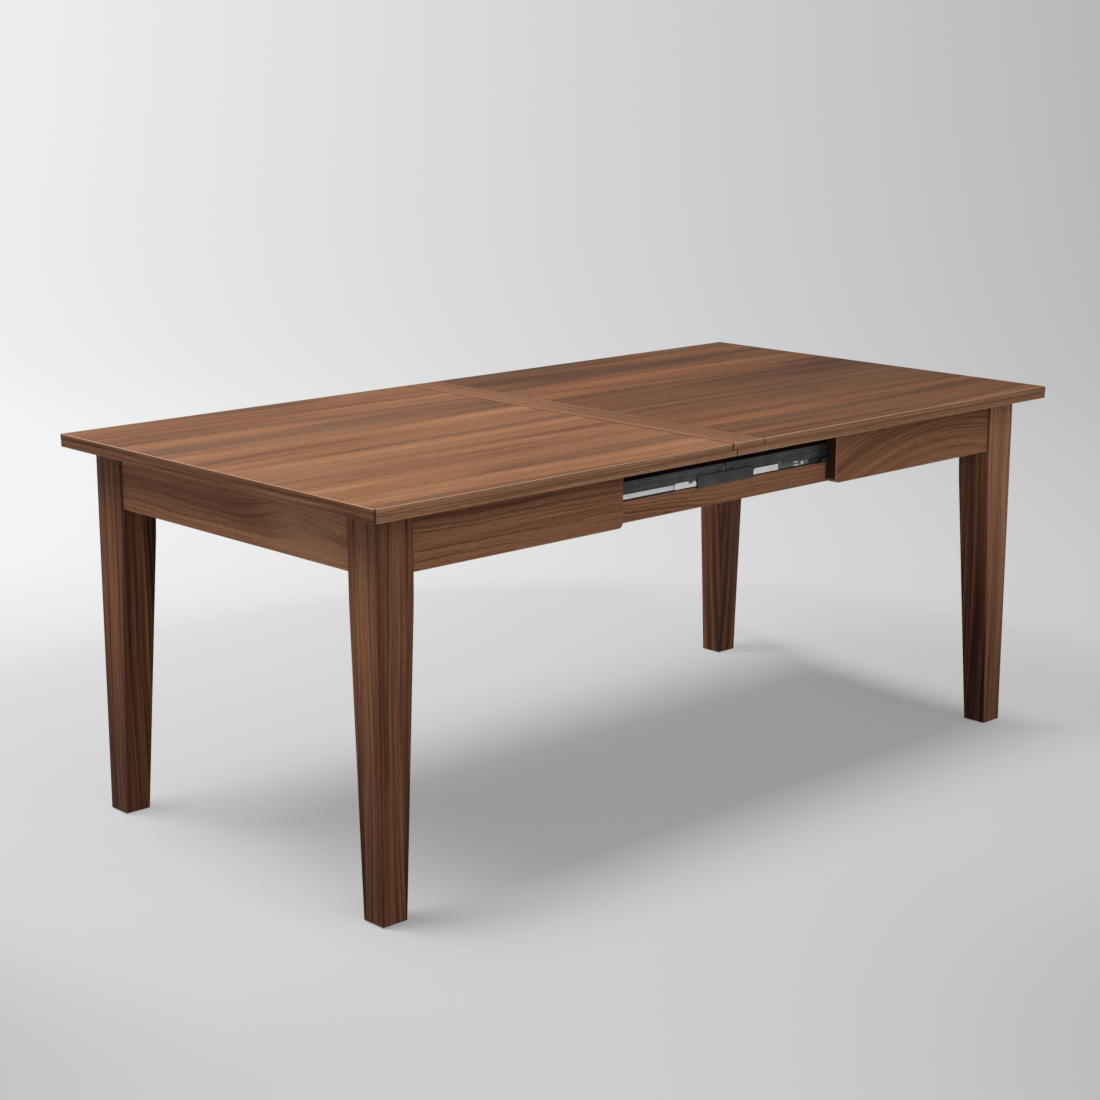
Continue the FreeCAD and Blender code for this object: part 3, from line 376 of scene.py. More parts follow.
# middle of each leg, a seed, and the painted light and shade of its faces along x and along y: a tone lift, and
# a drop toward the foot
legPlaces = {"leg_front_left": (-0.84, -0.385, 23.0, (-0.04, -0.21), (0.31, 0.06)),
             "leg_back_left": (-0.84, 0.385, 26.0, (-0.10, -0.23), (0.25, 0.07)),
             "leg_front_right": (0.84, -0.385, 34.0, (-0.16, 0.19), (0.20, 0.26)),
             "leg_back_right": (0.84, 0.385, 39.0, (-0.08, 0.02), (0.20, 0.20))}
legPith = 0.62  # from each leg's middle to the heart of the tree, along x and along y
# the aprons' strong end darkening is partly painted shade on their end faces by the gap
apronLeftLook = {
    "axes": "xzy", "paired": True, "seed": 29.0, "pith": (1.15, 0.20), "ring": 0.0085, "sway": 0.035,
    "ripple": 0.0110, "tone": 0.60, "bands": 0.30, "rings": 0.60, "late": 0.46, "streak": 0.14, "fair": 0.10,
    "line": 0.14, "hair": 0.30, "fibre": 0.16, "cloud": 0.12, "grey": 0.08, "pores": 0.45, "easedEdgeShare": 0.35,
    "endDark": 0.90, "tint": (1.0, 0.955, 0.94),
}
apronRightLook = dict(apronLeftLook, seed=31.0, pith=(0.560, 0.360), sway=0.040, ripple=0.008, tone=0.65,
                      arch={"middle": 0.66, "rise": 0.55})
apronEndLook = dict(apronLeftLook, axes="yzx", seed=37.0, pith=(1.10, 0.60), tone=0.80, sway=0.06, hair=0.40,
                    tint=(1.0, 0.865, 0.825),
                    knot={"along": -0.231, "across": 0.688, "length": 0.060, "height": 0.020, "spread": 3.6,
                          "bend": 0.024, "heart": 0.9, "dark": 0.26, "halo": 0.54})
bearerLook = dict(apronLeftLook, seed=41.0, pith=(0.95, 0.30), sway=0.10, tone=0.68)

dress(makeWalnut("walnut_top_left", topLeftLook), "top_panel_left")
dress(makeWalnut("walnut_top_right", topRightLook), "top_panel_right")
dress(makeWalnut("walnut_leaf", leafLook), "leaf_lower", "leaf_upper")
dress(makeWalnut("walnut_cross_band", bandLook), "top_band")
dress(makeWalnut("walnut_edge_long", edgeLongLook), "edge_strip_front_left", "edge_strip_front_right",
      "edge_strip_back_left", "edge_strip_back_right")
dress(makeWalnut("walnut_edge_end", edgeEndLook), "edge_strip_end_left", "edge_strip_end_right",
      "seam_strip_left", "seam_strip_right")
for name, (legX, legY, seed, lift, drop) in legPlaces.items():
    pith = (legX - math.copysign(legPith, legX), legY - math.copysign(legPith, legY))
    look = dict(legLook, seed=seed, pith=pith, paintedFaceLight=lift, paintedFootShade=drop)
    dress(makeWalnut("walnut_" + name, look), name)
dress(makeWalnut("walnut_apron_left", apronLeftLook), "apron_front_left", "apron_back_right")
dress(makeWalnut("walnut_apron_right", apronRightLook), "apron_front_right", "apron_back_left")
dress(makeWalnut("walnut_apron_end", apronEndLook), "apron_end_left", "apron_end_right")
dress(makeWalnut("walnut_bearers", bearerLook), "bearer_front", "bearer_back")
print("walnut finishes done")


# Plain beech of the hidden frame. Scales: cycles for each metre along and across the grain, and how fine
beech = {"deep": (0.36, 0.215, 0.120), "fair": (0.52, 0.350, 0.215), "fleck": (0.26, 0.140, 0.075),
         "streakScale": (3.0, 60.0, 2.0), "hairScale": (30.0, 700.0, 1.0), "fleckScale": (160.0, 900.0, 0.0),
         "fleckCut": (0.66, 0.75), "streakShare": 0.75, "hairShare": 0.25, "deepStop": 0.3, "fairStop": 0.7,
         "fleckShare": 0.6, "edgeShare": 0.3, "roughness": 0.62, "roughSpread": 0.15, "specular": 0.25,
         "fleckSink": 0.5, "grainDepth": 0.0002, "grainStrength": 0.3}


def makeBeech(name, axes):
    finish = Finish(name)
    spots = dict(zip("xyz", finish.split(finish.place())))
    ways = [spots[letter] for letter in axes]
    streak = finish.grain(ways, *beech["streakScale"])
    hair = finish.grain(ways, *beech["hairScale"])
    fleck = finish.step(finish.grain(ways, *beech["fleckScale"]), *beech["fleckCut"])
    shade = streak * beech["streakShare"] + hair * beech["hairShare"]
    colour = finish.ramp(shade, [(beech["deepStop"], beech["deep"]), (beech["fairStop"], beech["fair"])])
    colour = finish.mix(fleck * beech["fleckShare"], colour, beech["fleck"])
    colour = finish.mix(finish.arris() * beech["edgeShare"], colour, beech["fair"])
    rough = beech["roughness"] + (hair - noiseMiddle) * beech["roughSpread"]
    height = hair - fleck * beech["fleckSink"]
    return finish.surface({"Base Color": colour, "Roughness": rough, "Specular IOR Level": beech["specular"],
                           "Normal": finish.bump(height, beech["grainDepth"], beech["grainStrength"])})


dress(makeBeech("beech_cross_rails", "yxz"), "carriage_rail_inner_left", "carriage_rail_inner_right",
      "carriage_rail_outer_left", "carriage_rail_outer_right", "top_batten_left", "top_batten_right",
      "dust_board")
dress(makeBeech("beech_blocks", "zxy"), "corner_blocks_left", "corner_blocks_right")
dress(makeBeech("beech_tongues", "xyz"), "seam_tongues")

# Metals and plastics of the slides
# the light edge colour of the coated steels is partly bare worn metal and partly a painted highlight
steel = {"coat": (0.026, 0.027, 0.029), "dust": (0.085, 0.086, 0.090), "bareAndHighlight": (0.26, 0.265, 0.275),
         "rivet": (0.006, 0.006, 0.006), "track": (0.86, 0.86, 0.87), "trackGrey": (0.17, 0.17, 0.175),
         "zinc": (0.80, 0.81, 0.83), "zincDull": (0.52, 0.53, 0.55), "zincStain": (0.42, 0.42, 0.42),
         "grey": (0.20, 0.20, 0.21), "greyDull": (0.12, 0.12, 0.125),
         "brass": (0.70, 0.50, 0.22), "brassDull": (0.45, 0.30, 0.13)}
# Clouds, grit, bloom and grain: how fine, how rough, and cycles for each metre
coated = {"cloud": (3.0, 0.6, 22.0), "grit": (1.0, 0.5, 1600.0), "rubScale": (5.0, 260.0, 2.0),
          "dustCut": (0.42, 0.75), "dustShare": 0.6, "edgeCut": (0.30, 0.55), "edgeShare": 0.8,
          "scrapeCut": (0.66, 0.74), "scrapeShare": 0.12, "roughness": 0.42, "roughSpread": 0.3,
          "specular": 0.5, "gritDepth": 0.00005, "gritStrength": 0.4}
# from where along the track each colour shows: grey, then bright, then black; the grey and the black are
# painted shade on the bright track
plated = {"brushScale": (12.0, 900.0, 2.0), "bloom": (3.0, 0.6, 35.0), "dullCut": (0.4, 0.7),
          "stainCut": (0.64, 0.8), "stainShare": 0.5, "edgeShare": 0.4, "brushRough": 0.2, "bloomRough": 0.2,
          "brushDepth": 0.00004, "brushStrength": 0.3, "zincRough": 0.36, "brassRough": 0.32,
          "trackRough": 0.50, "trackMetal": 0.45,
          "trackShadeSteps": ((0.153, steel["trackGrey"]), (0.205, steel["track"]), (0.240, steel["coat"]))}
plastic = {"acetal": (0.93, 0.93, 0.92), "acetalShade": (0.82, 0.82, 0.81), "acetalRough": 0.42,
           "black": (0.010, 0.010, 0.011), "blackDust": (0.030, 0.030, 0.031), "blackRough": 0.5,
           "cloud": (2.0, 0.5, 30.0), "grain": (1.0, 0.5, 1400.0), "shadeCut": (0.4, 0.75), "edgeShare": 0.3,
           "roughSpread": 0.15, "specular": 0.3, "grainDepth": 0.00005, "grainStrength": 0.35}


def makeCoatedSteel(name, coat, dust, bareAndHighlight):
    finish = Finish(name)
    place = finish.place()
    cloud = finish.noise(place, *coated["cloud"])
    grit = finish.noise(place, *coated["grit"])
    rubbed = finish.grain(finish.split(place), *coated["rubScale"])
    colour = finish.mix(finish.step(cloud, *coated["dustCut"]) * coated["dustShare"], coat, dust)
    # painted highlight on the eased edges and groove slopes, partly bare worn metal
    edge = finish.arris() * finish.step(cloud, *coated["edgeCut"]) * coated["edgeShare"]
    scrape = finish.step(rubbed, *coated["scrapeCut"]) * coated["scrapeShare"]
    colour = finish.mix(finish.most(edge, scrape), colour, bareAndHighlight)
    rough = coated["roughness"] + (cloud - noiseMiddle) * coated["roughSpread"]
    return finish.surface({"Base Color": colour, "Roughness": rough, "Specular IOR Level": coated["specular"],
                           "Normal": finish.bump(grit, coated["gritDepth"], coated["gritStrength"])})


def makePlatedSteel(name, bright, dull, stain, roughness, metallic=1.0, shadeSteps=()):
    finish = Finish(name)
    place = finish.place()
    ways = finish.split(place)
    brushed = finish.grain(ways, *plated["brushScale"])
    bloom = finish.noise(place, *plated["bloom"])
    colour = finish.mix(finish.step(bloom, *plated["dullCut"]), bright, dull)
    colour = finish.mix(finish.step(bloom, *plated["stainCut"]) * plated["stainShare"], colour, stain)
    colour = finish.mix(finish.arris() * plated["edgeShare"], colour, bright)
    # painted shade: past each start the track takes the next colour
    if shadeSteps:  # along runs to the right, seen from the track's own side of the table
        along = 0.0 - ways[0] * finish.sum("SIGN", ways[1], 0.0)
        for start, coat in shadeSteps:
            colour = finish.mix(along > start, colour, coat)
    rough = (brushed - noiseMiddle) * plated["brushRough"] + (bloom - noiseMiddle) * plated["bloomRough"]
    return finish.surface({"Base Color": colour, "Metallic": metallic, "Roughness": roughness + rough,
                           "Normal": finish.bump(brushed, plated["brushDepth"], plated["brushStrength"])})


def makePlastic(name, fresh, shade, roughness):
    finish = Finish(name)
    place = finish.place()
    cloud = finish.noise(place, *plastic["cloud"])
    grain = finish.noise(place, *plastic["grain"])
    colour = finish.mix(finish.step(cloud, *plastic["shadeCut"]), fresh, shade)
    colour = finish.mix(finish.arris() * plastic["edgeShare"], colour, fresh)
    rough = roughness + (cloud - noiseMiddle) * plastic["roughSpread"]
    return finish.surface({"Base Color": colour, "Roughness": rough, "Specular IOR Level": plastic["specular"],
                           "Normal": finish.bump(grain, plastic["grainDepth"], plastic["grainStrength"])})


blackSteel = makeCoatedSteel("black_coated_steel", steel["coat"], steel["dust"], steel["bareAndHighlight"])
rivetSteel = makeCoatedSteel("dark_rivets", steel["rivet"], steel["coat"], steel["dust"])
leverSteel = makeCoatedSteel("grey_lever_steel", steel["greyDull"], steel["grey"], steel["bareAndHighlight"])
zincSteel = makePlatedSteel("bright_zinc", steel["zinc"], steel["zincDull"], steel["zincStain"],
                            plated["zincRough"])
trackZinc = makePlatedSteel("white_zinc_track", steel["track"], steel["zinc"], steel["zincDull"],
                            plated["trackRough"], plated["trackMetal"], plated["trackShadeSteps"])
hingeBrass = makePlatedSteel("hinge_brass", steel["brass"], steel["brassDull"], steel["brassDull"],
                             plated["brassRough"])
acetal = makePlastic("slide_acetal", plastic["acetal"], plastic["acetalShade"], plastic["acetalRough"])
blackPlastic = makePlastic("black_moulding", plastic["black"], plastic["blackDust"], plastic["blackRough"])

slideSides = [side + "_" + half for side in ("front", "back") for half in ("left", "right")]
dress(blackSteel, "centre_stops", *["slide_rail_" + side for side in slideSides])
dress(leverSteel, "lock_lever")
dress(trackZinc, "slide_track_front", "slide_track_back")
dress(zincSteel, "lever_pivot", "leg_bolts_left", "leg_bolts_right", "top_brackets_left", "top_brackets_right",
      "equaliser_plate", "rack_left", "rack_right", "pinion")
dress(hingeBrass, "leaf_hinges")
dress(acetal, "track_pads", "rail_pads_left", "rail_pads_right", "rack_keepers")
# the track packers are real spacers, made black to stand in for the shadow line under the tracks: a painted
# shade
dress(blackPlastic, "track_packers", "foot_glides_left", "foot_glides_right")
print("metal and plastic finishes done")


# Small fixings and slide pieces
fixing = {"sides": 20, "spin": 0.9, "smooth": 40.0, "easeSteps": 2, "topShare": 0.9,
          "panHead": 0.0038, "panRise": 0.0021, "panEase": 0.0008,
          "flatHead": 0.0042, "flatRise": 0.0007, "flatEase": 0.0003,
          "crossLong": 0.0044, "crossWide": 0.0010, "crossDeep": 0.6, "crossOver": 1.1, "crossSlip": 0.1,
          "rivetHead": 0.0029, "rivetRise": 0.0007, "rivetEase": 0.0003, "rivetHole": 0.0013,
          "rivetSink": 0.0004}
near = 0.0001  # metres within which a corner counts as at its place
square = 0.9   # how far a face's normal has to look along a direction


def editSelect(kind, test):
    mesh = bmesh.from_edit_mesh(bpy.context.object.data)
    bpy.ops.mesh.select_mode(type=kind.upper())
    bpy.ops.mesh.select_all(action="DESELECT")
    for item in {"face": mesh.faces, "edge": mesh.edges}[kind]:
        if kind == "face":
            chosen = test(item.calc_center_median(), item.normal)
        else:
            chosen = test(*[corner.co for corner in item.verts])
        item.select_set(bool(chosen))
    mesh.select_flush_mode()
    bmesh.update_edit_mesh(bpy.context.object.data)


def applyPlace():
    bpy.ops.object.transform_apply(location=True, rotation=True, scale=True)


def startBlock(name, low, high):  # a cube at its size and place, left in edit mode
    bpy.ops.object.select_all(action="DESELECT")
    middle = (Vector(low) + Vector(high)) / 2
    bpy.ops.mesh.primitive_cube_add(size=1.0, location=middle)
    block = bpy.context.object
    block.name = name
    block.scale = Vector(high) - Vector(low)
    applyPlace()
    bpy.ops.object.mode_set(mode="EDIT")
    return block


def startDisc(name, radius, rise, sides):  # a cylinder standing on the origin, left in edit mode
    bpy.ops.object.select_all(action="DESELECT")
    bpy.ops.mesh.primitive_cylinder_add(vertices=sides, radius=radius, depth=rise,
                                        location=(0.0, 0.0, rise / 2))
    disc = bpy.context.object
    disc.name = name
    applyPlace()
    bpy.ops.object.mode_set(mode="EDIT")
    return disc


def endPiece(piece, ease=None):  # ease: width and steps of the rounding on every sharp edge
    bpy.ops.mesh.select_all(action="SELECT")
    bpy.ops.mesh.normals_make_consistent(inside=False)
    bpy.ops.object.mode_set(mode="OBJECT")
    if ease:
        rounding = piece.modifiers.new("rounding", "BEVEL")
        rounding.width, rounding.segments = ease
        rounding.limit_method = "ANGLE"
        bpy.ops.object.modifier_apply(modifier=rounding.name)
    bpy.ops.object.shade_smooth_by_angle(angle=math.radians(fixing["smooth"]))
    return piece


def fitPiece(piece, material, body):
    piece.data.materials.clear()
    piece.data.materials.append(material)
    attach(piece, body)


def setCopies(name, master, places, material, body):
    copies = []
    for index, (spot, way) in enumerate(places):
        copy = master.copy()
        copy.data = master.data.copy()
        bpy.context.scene.collection.objects.link(copy)
        upright = Vector(way).to_track_quat("Z", "Y").to_matrix().to_4x4()
        spin = Matrix.Rotation(index * fixing["spin"], 4, "Z")
        copy.matrix_world = Matrix.Translation(spot) @ upright @ spin
        copies.append(copy)
    bpy.ops.object.select_all(action="DESELECT")
    for copy in copies:
        copy.select_set(True)
    bpy.context.view_layer.objects.active = copies[0]
    bpy.ops.object.join()
    joined = bpy.context.object
    joined.name = name
    applyPlace()
    fitPiece(joined, material, body)


def makeScrew(name, radius, rise, ease):
    screw = startDisc(name, radius, rise, fixing["sides"])
    editSelect("edge", lambda a, b: min(a.z, b.z) > rise * fixing["topShare"])
    bpy.ops.mesh.bevel(offset=ease, segments=fixing["easeSteps"], affect="EDGES")
    endPiece(screw)
    # cross recess: a square bar drawn out to four sides
    half = fixing["crossWide"] / 2
    sink = rise * fixing["crossDeep"]
    bar = startBlock(name + "_recess", (-half, -half, rise - sink), (half, half, rise + sink))
    for way in (Vector((1, 0, 0)), Vector((-1, 0, 0)), Vector((0, 1, 0)), Vector((0, -1, 0))):
        editSelect("face", lambda middle, normal: normal.dot(way) > square
                   and middle.dot(way) < half * fixing["crossOver"]
                   and abs(middle.cross(way).z) < half * fixing["crossSlip"])
        drawn = way * (fixing["crossLong"] / 2 - half)
        bpy.ops.mesh.extrude_region_move(TRANSFORM_OT_translate={"value": drawn})
    endPiece(bar)
    recess = screw.modifiers.new("recess", "BOOLEAN")
    recess.operation = "DIFFERENCE"
    recess.object = bar
    bpy.ops.object.select_all(action="DESELECT")
    screw.select_set(True)
    bpy.context.view_layer.objects.active = screw
    bpy.ops.object.modifier_apply(modifier=recess.name)
    bpy.data.objects.remove(bar)
    return screw


def makeRivet(name):
    rivet = startDisc(name, fixing["rivetHead"], fixing["rivetRise"], fixing["sides"])
    top = fixing["rivetRise"] * fixing["topShare"]
    editSelect("edge", lambda a, b: min(a.z, b.z) > top)
    bpy.ops.mesh.bevel(offset=fixing["rivetEase"], segments=fixing["easeSteps"], affect="EDGES")
    editSelect("face", lambda middle, normal: normal.z > square and middle.z > top)
    bpy.ops.mesh.inset(thickness=fixing["rivetHead"] - fixing["rivetEase"] - fixing["rivetHole"])
    bpy.ops.mesh.extrude_region_move(TRANSFORM_OT_translate={"value": (0.0, 0.0, -fixing["rivetSink"])})
    return endPiece(rivet)


# where the fixings sit: lengths in metres, upright and sideways directions
up, down = (0.0, 0.0, 1.0), (0.0, 0.0, -1.0)
bracketSpots = {"along": (0.3914, 0.5741), "across": (-0.1389, 0.0, 0.1389), "sideFace": 0.390,
                "endFace": 0.847, "low": 0.709, "under": 0.723, "sideToe": 0.376, "endToe": 0.833}
battenSpots = {"x": 0.300, "y": (-0.200, 0.0, 0.200), "under": 0.709}
rackSpots = {"x": 0.300, "left": (0.2506, 0.2696), "right": (0.2966, 0.3156), "under": 0.706}
plateSpots = {"x": 0.190, "y": (0.2741, 0.3321), "top": 0.653}
trackSpots = {"x": (0.110, 0.240, 0.370, 0.500, 0.630), "y": 0.380, "flange": 0.661}
boardSpots = {"x": (0.190, 0.6094), "y": (-0.240, 0.0, 0.240), "under": 0.611}
rivetSpots = {"x": (0.020, 0.285, 0.560), "face": 0.3912, "z": 0.681}

panScrew = makeScrew("pan_screw", fixing["panHead"], fixing["panRise"], fixing["panEase"])
flatScrew = makeScrew("flat_screw", fixing["flatHead"], fixing["flatRise"], fixing["flatEase"])
railRivet = makeRivet("rail_rivet")
for end, sign in (("left", -1.0), ("right", 1.0)):
    spots = []
    for x in bracketSpots["along"]:
        for side in (-1.0, 1.0):
            spots.append(((sign * x, side * bracketSpots["sideFace"], bracketSpots["low"]), (0.0, -side, 0.0)))
            spots.append(((sign * x, side * bracketSpots["sideToe"], bracketSpots["under"]), down))
    for y in bracketSpots["across"]:
        spots.append(((sign * bracketSpots["endFace"], y, bracketSpots["low"]), (-sign, 0.0, 0.0)))
        spots.append(((sign * bracketSpots["endToe"], y, bracketSpots["under"]), down))
    for y in battenSpots["y"]:
        spots.append(((sign * battenSpots["x"], y, battenSpots["under"]), down))
    for y in rackSpots[end]:
        spots.append(((sign * rackSpots["x"], y, rackSpots["under"]), down))
    setCopies("top_screws_" + end, panScrew, spots, zincSteel, end + "_half")
    spots = []
    for x in rivetSpots["x"]:
        for side in (-1.0, 1.0):
            spots.append(((sign * x, side * rivetSpots["face"], rivetSpots["z"]), (0.0, side, 0.0)))
    setCopies("rail_rivets_" + end, railRivet, spots, rivetSteel, end + "_half")
spots = [((sign * plateSpots["x"], y, plateSpots["top"]), up) for sign in (-1.0, 1.0) for y in plateSpots["y"]]
for x in trackSpots["x"]:
    for sign in (-1.0, 1.0):
        for side in (-1.0, 1.0):
            spots.append(((sign * x, side * trackSpots["y"], trackSpots["flange"]), up))
setCopies("carriage_screws", panScrew, spots, zincSteel, "carriage")
spots = [((sign * x, y, boardSpots["under"]), down)
         for x in boardSpots["x"] for sign in (-1.0, 1.0) for y in boardSpots["y"]]
setCopies("dust_board_screws", flatScrew, spots, zincSteel, "carriage")
for master in (panScrew, flatScrew, railRivet):
    bpy.data.objects.remove(master)
print("screws and rivets done")

# White slide shoes on the tracks, with a lip in front of the rails. leftSteps: each run to the right, and
# the shoe's top there
shoe = {"back": -0.3885, "lip": -0.3923, "front": -0.3943, "low": 0.6595, "lipLow": 0.6684, "high": 0.6716,
        "ease": (0.0005, 2), "leftStart": -0.140, "leftRun": 0.035, "leftRound": 0.004,
        "leftSteps": ((0.004, 0.6655), (0.006, 0.6662), (0.009, 0.6712), (0.004, 0.6640)),
        "rightStart": 0.0795, "rightEnd": 0.152, "rightRound": 0.0075, "roundSteps": 6}


def shapeShoe(piece, start, size):  # round the left top, then draw the part below the lip back to the track
    editSelect("edge", lambda a, b: max(a.x, b.x) < start + near and min(a.z, b.z) > shoe["high"] - near)
    bpy.ops.mesh.bevel(offset=size, segments=shoe["roundSteps"], affect="EDGES")
    bpy.ops.mesh.select_all(action="SELECT")
    bpy.ops.mesh.bisect(plane_co=(0.0, 0.0, shoe["lipLow"]), plane_no=(0.0, 0.0, 1.0))
    editSelect("face", lambda middle, normal: normal.y > square and middle.z < shoe["lipLow"])
    drawn = (0.0, shoe["back"] - shoe["lip"], 0.0)
    bpy.ops.mesh.extrude_region_move(TRANSFORM_OT_translate={"value": drawn})
    endPiece(piece, shoe["ease"])


leftShoe = startBlock("slide_shoe_left", (shoe["leftStart"], shoe["front"], shoe["low"]),
                      (shoe["leftStart"] + shoe["leftRun"], shoe["lip"], shoe["high"]))
tip = shoe["leftStart"] + shoe["leftRun"]
level = shoe["high"]
for run, top in shoe["leftSteps"]:
    editSelect("face", lambda middle, normal: normal.x > square and middle.x > tip - near)
    bpy.ops.mesh.extrude_region_move(TRANSFORM_OT_translate={"value": (run, 0.0, 0.0)})
    tip = tip + run
    editSelect("edge", lambda a, b: min(a.x, b.x) > tip - near and min(a.z, b.z) > level - near)
    bpy.ops.transform.translate(value=(0.0, 0.0, top - level))
    level = top
shapeShoe(leftShoe, shoe["leftStart"], shoe["leftRound"])
rightShoe = startBlock("slide_shoe_right", (shoe["rightStart"], shoe["front"], shoe["low"]),
                       (shoe["rightEnd"], shoe["lip"], shoe["high"]))
shapeShoe(rightShoe, shoe["rightStart"], shoe["rightRound"])
for front in (leftShoe, rightShoe):
    rear = front.copy()
    rear.data = front.data.copy()
    rear.name = front.name + "_rear"
    bpy.context.scene.collection.objects.link(rear)
    rear.data.transform(Matrix.Rotation(math.pi, 4, "Z"))
    for piece in (front, rear):
        fitPiece(piece, acetal, "carriage")

# Black grip moulded over the lever's tab
grip = {"low": (0.2465, -0.3940, 0.6600), "high": (0.2720, -0.3912, 0.6682), "head": 0.0240, "reach": 0.0108,
        "round": (0.0013, 3)}
leverGrip = startBlock("lever_grip", grip["low"], grip["high"])
editSelect("face", lambda middle, normal: normal.x > square)
bpy.ops.mesh.extrude_region_move(TRANSFORM_OT_translate={"value": (grip["head"], 0.0, 0.0)})
editSelect("face", lambda middle, normal: normal.y < -square and middle.x > grip["high"][0])
bpy.ops.mesh.extrude_region_move(TRANSFORM_OT_translate={"value": (0.0, -grip["reach"], 0.0)})
endPiece(leverGrip, grip["round"])
fitPiece(leverGrip, blackPlastic, "lock_lever")
print("slide shoes and lever grip done")


# Studio sweep, turned square to the camera
viewpoint = {"place": (-3.1837, -3.2898, 1.5213), "turn": 43.2319, "upright": 90.0, "tilt": -13.1091,
             "lens": 74.755, "sensor": 36.0}
sweep = {"half": 40.0, "front": -40.0, "back": 5.0, "curve": 3.0, "bend": -90.0, "steps": 24, "wall": 6.0,
         "edgeSlack": 0.1, "topSlack": 0.01, "weld": 0.001}
# the pale glow's level and its falls, a painted light brighter on the left and toward the back and darker to
# the right and at the front sides, and how far it takes the place of the lit paint, which lifts the floor's
# shadow
glowLook = {"paint": (0.47, 0.47, 0.47), "shadowLift": 0.36, "level": 0.62, "levels": (0.46, 0.90),
            "rise": 0.12, "riseReach": (-0.4, 2.0), "farDrop": 0.075, "farReach": (2.2, 7.0),
            "fallRight": 0.05, "fallMore": 0.05, "fallLess": 0.035, "frontFall": 0.14, "frontReach": (0.4, 1.6),
            "haze": 0.62, "hazeReach": (3.2, 7.0), "litReach": (1.0, 1.7),
            "open": 0.75, "openWay": (-0.8, 0.9), "openReach": (-0.45, 0.75),
            "clear": 1.0, "clearWay": (0.70, -0.71), "clearReach": (0.14, 0.78),
            "end": 0.85, "endWay": (0.80, 0.60), "endReach": (0.70, 1.05)}
turn = math.radians(viewpoint["turn"])
rightWay = Vector((math.cos(turn), -math.sin(turn), 0.0))
awayWay = Vector((math.sin(turn), math.cos(turn), 0.0))
middle = (sweep["front"] + sweep["back"]) / 2
bpy.ops.mesh.primitive_plane_add(size=1.0, location=awayWay * middle, rotation=(0.0, 0.0, -turn))
studio = bpy.context.object
studio.name = "studio_sweep"
studio.scale = (2 * sweep["half"], sweep["back"] - sweep["front"], 1.0)
applyPlace()
bpy.ops.object.mode_set(mode="EDIT")
editSelect("edge", lambda a, b: min(a.dot(awayWay), b.dot(awayWay)) > sweep["back"] - sweep["edgeSlack"])
bpy.ops.mesh.spin(steps=sweep["steps"], angle=math.radians(sweep["bend"]), axis=rightWay,
                  center=awayWay * sweep["back"] + Vector((0, 0, sweep["curve"])))
editSelect("edge", lambda a, b: min(a.z, b.z) > sweep["curve"] - sweep["topSlack"])
bpy.ops.mesh.extrude_region_move(TRANSFORM_OT_translate={"value": (0, 0, sweep["wall"])})
bpy.ops.mesh.select_all(action="SELECT")
bpy.ops.mesh.remove_doubles(threshold=sweep["weld"])
bpy.ops.mesh.normals_make_consistent(inside=False)
bpy.ops.object.mode_set(mode="OBJECT")
bpy.ops.object.shade_smooth()
wallSpot = max(corner.co.dot(awayWay) for corner in studio.data.vertices)
print("studio sweep done, its wall", round(wallSpot, 2), "m behind the table")

# Lit floor by the table, a pale glow further off for what looks at it directly or in a gloss
finish = Finish("pale_studio")
x, y, z = finish.split(finish.place())
toRight = x * rightWay.x + y * rightWay.y
toBack = x * awayWay.x + y * awayWay.y
behind = finish.step(toBack, *glowLook["riseReach"])
far = finish.step(toBack, *glowLook["farReach"])
before = finish.step(0.0 - toBack, *glowLook["frontReach"])
# painted light: the glow is brighter toward the back and on the left, darker to the right and at the front
# sides
level = glowLook["level"] + behind * glowLook["rise"] - far * glowLook["farDrop"]
level = level - toRight * (glowLook["fallRight"] + behind * glowLook["fallMore"] - far * glowLook["fallLess"])
level = level - toRight * toRight * before * glowLook["frontFall"]
level = finish.least(finish.most(level, glowLook["levels"][0]), glowLook["levels"][1])
level = level + (glowLook["haze"] - level) * finish.step(abs(toRight), *glowLook["hazeReach"])
glow = finish.node("ShaderNodeEmission", {}, {"Color": finish.vector(level, level, level)})
lit = finish.node("ShaderNodeBsdfDiffuse", {}, {"Color": glowLook["paint"]})
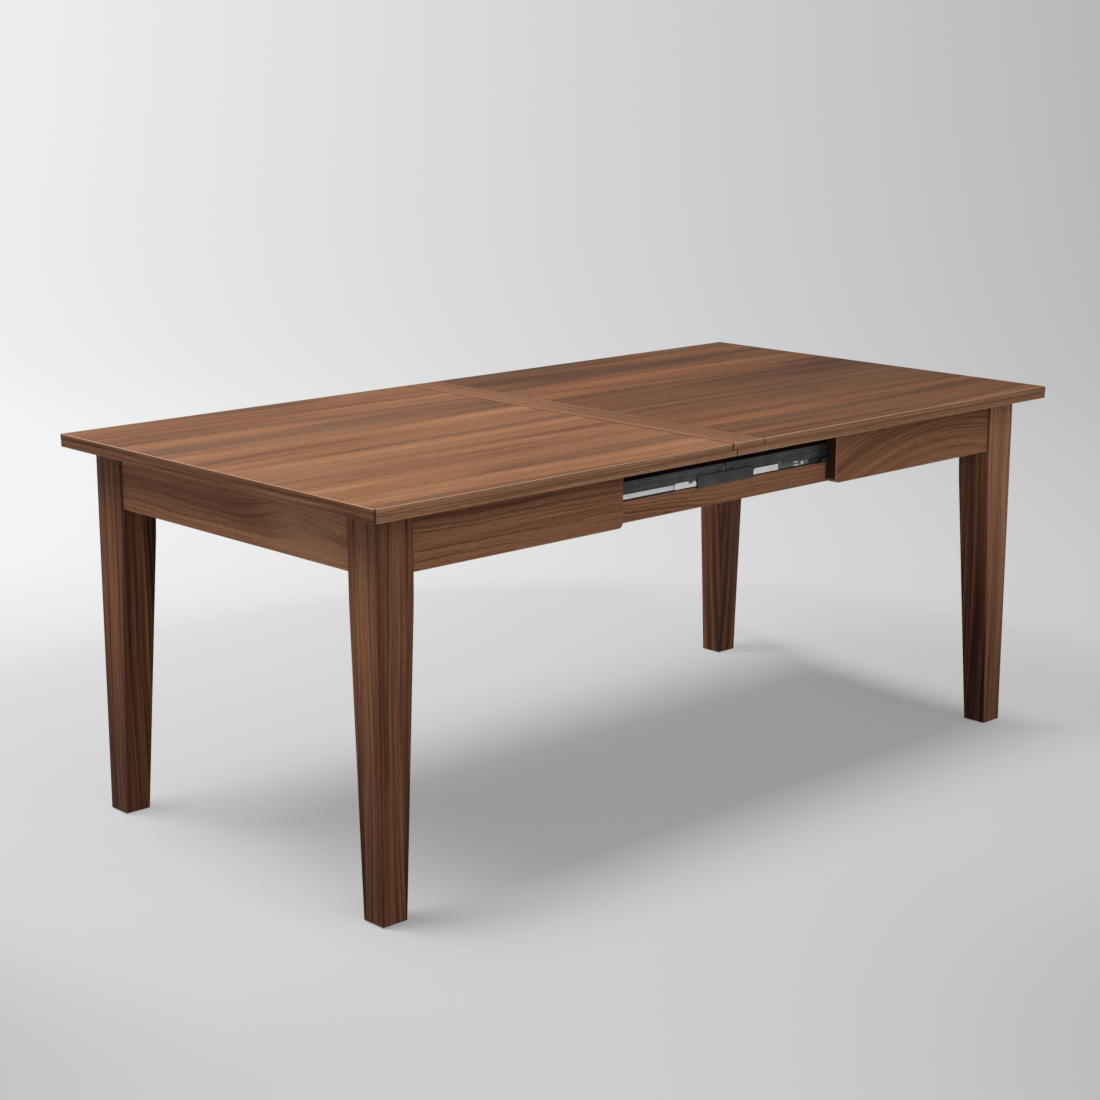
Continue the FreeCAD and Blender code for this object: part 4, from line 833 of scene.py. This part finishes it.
# painted light: the glow lifts the floor's shadow by a share everywhere, more on the left and at the back
# (open), in front on the right (clear) and past the right end
share = glowLook["shadowLift"]
for side in ("open", "clear", "end"):
    rightPart, backPart = glowLook[side + "Way"]
    spread = finish.step(toRight * rightPart + toBack * backPart, *glowLook[side + "Reach"])
    share = finish.most(share, spread * glowLook[side])
reach = (toRight * toRight + toBack * toBack) ** 0.5
share = finish.most(share, finish.step(reach, *glowLook["litReach"]))
seen = 0.0
for ray in ("Is Camera Ray", "Is Glossy Ray", "Is Transmission Ray"):
    seen = seen + finish.node("ShaderNodeLightPath", {}, {}, ray)
share = share * finish.least(seen, 1.0)
shown = finish.node("ShaderNodeMixShader", {}, {0: share, 1: lit, 2: glow})
finish.node("ShaderNodeOutputMaterial", {}, {"Surface": shown})
studio.data.materials.clear()
studio.data.materials.append(finish.owner)

# Soft light from above on the left, and from the front
studioLight = {
    "key": {"place": (-1.9, 1.3, 4.5), "aim": (-0.1, 0.0, 0.6), "size": 2.6, "power": 292.0},
    "front": {"place": (-0.6, -4.2, 2.9), "aim": (0.1, 0.0, 0.5), "size": 4.5, "power": 112.0},
    "sky": (0.20, 0.20, 0.204), "haze": (glowLook["haze"],) * 3,
}
for name in ("key", "front"):
    setup = studioLight[name]
    lamp = bpy.data.lights.new(name + "_softbox", "AREA")
    lamp.energy = setup["power"]
    lamp.size = setup["size"]
    softbox = bpy.data.objects.new(name + "_softbox", lamp)
    softbox.visible_camera = False
    softbox.location = setup["place"]
    softbox.rotation_euler = (Vector(setup["aim"]) - softbox.location).to_track_quat("-Z", "Y").to_euler()
    bpy.context.scene.collection.objects.link(softbox)
world = bpy.data.worlds.new("studio_air")
bpy.context.scene.world = world
sky = Finish("studio_air", world)
air = sky.node("ShaderNodeBackground", {}, {"Color": studioLight["sky"]})
haze = sky.node("ShaderNodeBackground", {}, {"Color": studioLight["haze"]})
looked = sky.node("ShaderNodeLightPath", {}, {}, "Is Camera Ray")
mixedAir = sky.node("ShaderNodeMixShader", {}, {0: looked, 1: air, 2: haze})
sky.node("ShaderNodeOutputWorld", {}, {"Surface": mixedAir})

lensData = bpy.data.cameras.new("table_view")
lensData.lens = viewpoint["lens"]
lensData.sensor_width = viewpoint["sensor"]
camera = bpy.data.objects.new("table_view", lensData)
camera.location = viewpoint["place"]
camera.rotation_euler = (math.radians(viewpoint["upright"] + viewpoint["tilt"]), 0.0, -turn)
bpy.context.scene.collection.objects.link(camera)
bpy.context.scene.camera = camera
bpy.context.scene.view_settings.view_transform = "Standard"
print("studio, lights and camera done")
